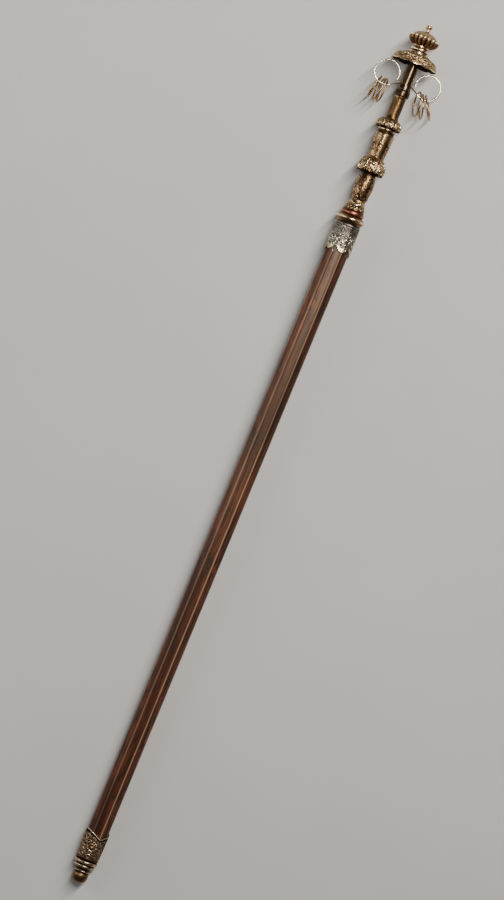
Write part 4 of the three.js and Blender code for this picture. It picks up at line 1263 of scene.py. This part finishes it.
def lotus_bud():
    """Lotus bud: fluted bowl, a row of petal tips on its lip, a leafy dome, a bead and a ball."""
    low, high = span("lotus_bud")
    bowl_low = low + BUD_FOOT_LENGTH
    lip = bowl_low + BUD_BOWL_LENGTH
    dome_low = lip + BUD_LIP
    dome_high = dome_low + BUD_DOME_LENGTH
    ball_low = dome_high + BEAD_LENGTH
    turns = [math.pi * step / 16 for step in range(3, 16)]
    ball = [
        (BALL_RADIUS * math.sin(turn), ball_low + BALL_LENGTH * (1 - math.cos(turn)) / 2) for turn in turns
    ]
    bowl_and_dome = [
        (BUD_RADIUS * 0.7, bowl_low + BUD_BOWL_LENGTH * 0.1),
        (BUD_RADIUS * 0.86, bowl_low + BUD_BOWL_LENGTH * 0.32),
        (BUD_RADIUS * 0.96, bowl_low + BUD_BOWL_LENGTH * 0.64),
        (BUD_RADIUS, lip),
        (BUD_RADIUS * 0.97, dome_low),
        (BUD_RADIUS * 0.84, dome_low + BUD_DOME_LENGTH * 0.28),
        (BUD_RADIUS * 0.62, dome_low + BUD_DOME_LENGTH * 0.66),
        (BUD_RADIUS * 0.36, dome_low + BUD_DOME_LENGTH * 0.88),
        (BEAD_NECK_RADIUS, dome_high),
    ]
    profile = [
        (0, low),
        (BUD_FOOT_RADIUS, low),
        (BUD_FOOT_RADIUS, bowl_low - 0.4),
        *sweep(bowl_and_dome, 48),
        *bead(BEAD_RADIUS, dome_high, BEAD_LENGTH, BEAD_RADIUS - BEAD_NECK_RADIUS),
        (BALL_NECK_RADIUS, ball_low),
        *ball,
        (0, high),
    ]

    def carve(angle, station, radius):
        flutes = np.cos(BUD_PETALS * angle)
        turn = BUD_PETALS / 2 * angle / FULL_TURN
        share = (station - dome_low) / BUD_DOME_LENGTH
        leaves = np.maximum(leaf(turn, share * 1.25), leaf(turn + 0.5, (share - 0.3) * 1.6))
        petals = leaf(2 * turn, (station - bowl_low) / (BUD_BOWL_LENGTH + 1.5), 2)
        bowl = band(station, bowl_low - 0.2, dome_low, 0.8)
        dome = band(station, dome_low, dome_high - 1, 0.8)
        foot = band(station, low + 0.6, bowl_low - 0.8, 0.5)
        relief = bowl * (BUD_PETAL_HEIGHT * flutes + 0.3 * petals) + dome * 0.8 * (leaves - 0.3)
        polish = 0.24 + bowl * (0.04 + 0.16 * flutes) + dome * (0.6 * leaves - 0.02) + 0.5 * foot
        return relief, polish + 0.6 * smooth(station, dome_high - 0.5, dome_high + 0.5)

    return through_tree(
        turned("lotus_bud", profile, carve), BEAD_ROW, count=BUD_PETALS, row_radius=BUD_RADIUS * 0.985,
        station=dome_low + 0.6, bead_size=BUD_TIP_SIZE, material=CANOPY_BRASS,
    )


# Hoops and rings

def hoop(name, side):
    """A hoop of wire: out of the stem's hole, round under and outside, and back to the stem."""
    stem_low, _ = span("canopy_stem")
    middle = stem_low + HOOP_ABOVE_STEM_FOOT
    start = Vector((HOOP_HOLE_SIDE, middle + HOOP_HOLE_ABOVE_CENTRE, HOOP_HOLE_DEPTH))
    points = []
    for stop in range(HOOP_STOPS + 1):
        turn = math.radians(HOOP_SHANK_ANGLE + (360 + HOOP_END_ANGLE - HOOP_SHANK_ANGLE) * stop / HOOP_STOPS)
        across = HOOP_SIDE + HOOP_RADIUS * math.cos(turn)
        points.append(Vector((across, middle + HOOP_RADIUS * math.sin(turn), 0)))
    shank = [start.lerp(points[0], share) for share in (0, 0.2, 0.4, 0.6, 0.8)]
    shank[-1].y += 0.25
    path = [(side * point.x, point.y, point.z) for point in shank + points]
    return through_tree(
        path_curve(name, path), WIRE, wire_radius=HOOP_WIRE_RADIUS, sides=16, spacing=1.0,
        unevenness=WIRE_UNEVENNESS, polish=1.0, material=WIRE_BRASS,
    )


def loose_ring(name):
    """A ring of wire in its solid's plane, a little out of round."""
    back = STAFF.inverted()
    corners = np.array([back @ corner.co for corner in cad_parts[name].data.vertices])
    middle = corners.mean(axis=0)
    _, _, directions = np.linalg.svd(corners - middle, full_matrices=False)
    first, second = Vector(directions[0]), Vector(directions[1])
    seed = sum(name.encode())
    points = []
    for stop in range(RING_STOPS):
        turn = FULL_TURN * stop / RING_STOPS
        reach = RING_RADIUS + 0.12 * math.sin(2 * turn + seed) + 0.05 * math.sin(3 * turn + 2 * seed)
        points.append(Vector(middle) + first * reach * math.cos(turn) + second * reach * math.sin(turn))
    return through_tree(
        path_curve(name, points, True), WIRE, wire_radius=RING_WIRE_RADIUS, sides=14, spacing=1.3,
        unevenness=WIRE_UNEVENNESS, polish=0.56, material=WIRE_BRASS,
    )


# Stage

def stage():
    floor = bpy.data.meshes.new("floor")
    side = FLOOR_HALF_SIDE
    corners = [(-side, -side, 0), (side, -side, 0), (side, side, 0), (-side, side, 0)]
    floor.from_pydata(corners, [], [(0, 1, 2, 3)])
    floor.materials.append(floor_finish())
    ground = bpy.data.objects.new("floor", floor)
    bpy.context.scene.collection.objects.link(ground)
    world = bpy.data.worlds.new("soft studio")
    world.use_nodes = True
    world.node_tree.nodes["Background"].inputs["Color"].default_value = SKY_COLOUR
    world.node_tree.nodes["Background"].inputs["Strength"].default_value = SKY_STRENGTH
    bpy.context.scene.world = world


def soft_light(name, place, target, width, length, power, colour):
    """An area light at a place, turned to a target."""
    lamp = bpy.data.lights.new(name, "AREA")
    lamp.shape = "RECTANGLE"
    lamp.size = width
    lamp.size_y = length
    lamp.energy = power
    lamp.color = colour
    light = bpy.data.objects.new(name, lamp)
    light.location = place
    light.rotation_euler = (Vector(target) - Vector(place)).to_track_quat("-Z", "Y").to_euler()
    bpy.context.scene.collection.objects.link(light)
    light.visible_camera = False


def camera():
    data = bpy.data.cameras.new("camera")
    data.sensor_width = SENSOR_WIDTH
    seen = PHOTO_LONG_SIDE * MM_PER_PIXEL * MM
    data.lens = SENSOR_WIDTH * (CAMERA_HEIGHT - AXIS_HEIGHT) / seen
    data.clip_end = FARTHEST_SEEN
    made = bpy.data.objects.new("camera", data)
    made.location = (*CAMERA_SPOT, CAMERA_HEIGHT)
    made.rotation_euler = (0, 0, math.radians(CAMERA_ROLL))
    bpy.context.scene.collection.objects.link(made)
    bpy.context.scene.camera = made


camera()
stage()
for light_name, settings in LIGHTS.items():
    soft_light(light_name, **settings)

for make, slot, material in (
    (foot_tip, "foot_bronze", FOOT_BRONZE),
    (foot_ferrule, "foot_bronze", FOOT_BRONZE),
    (shaft, "rosewood", ROSEWOOD),
    (socket_sleeve, "engraved_sleeve", SLEEVE_METAL),
    (flange_disc, "head_brass", HEAD_BRASS),
    (copper_ring, "copper", COPPER),
    (column, "head_brass", HEAD_BRASS),
    (stem_collar, "head_brass", DARK_BRASS),
    (canopy_stem, "head_brass", DARK_BRASS),
    (canopy, "head_brass", CANOPY_BRASS),
    (lotus_bud, "head_brass", CANOPY_BRASS),
):
    piece_of(make(), material, make.__name__)
for hand, side in (("right", 1), ("left", -1)):
    piece_of(hoop(f"hoop_{hand}", side), WIRE_BRASS, f"hoop_{hand}")
for hand in ("right", "left"):
    for number in range(1, RINGS_A_SIDE + 1):
        ring_name = f"ring_{hand}_{number}"
        piece_of(loose_ring(ring_name), WIRE_BRASS, ring_name)
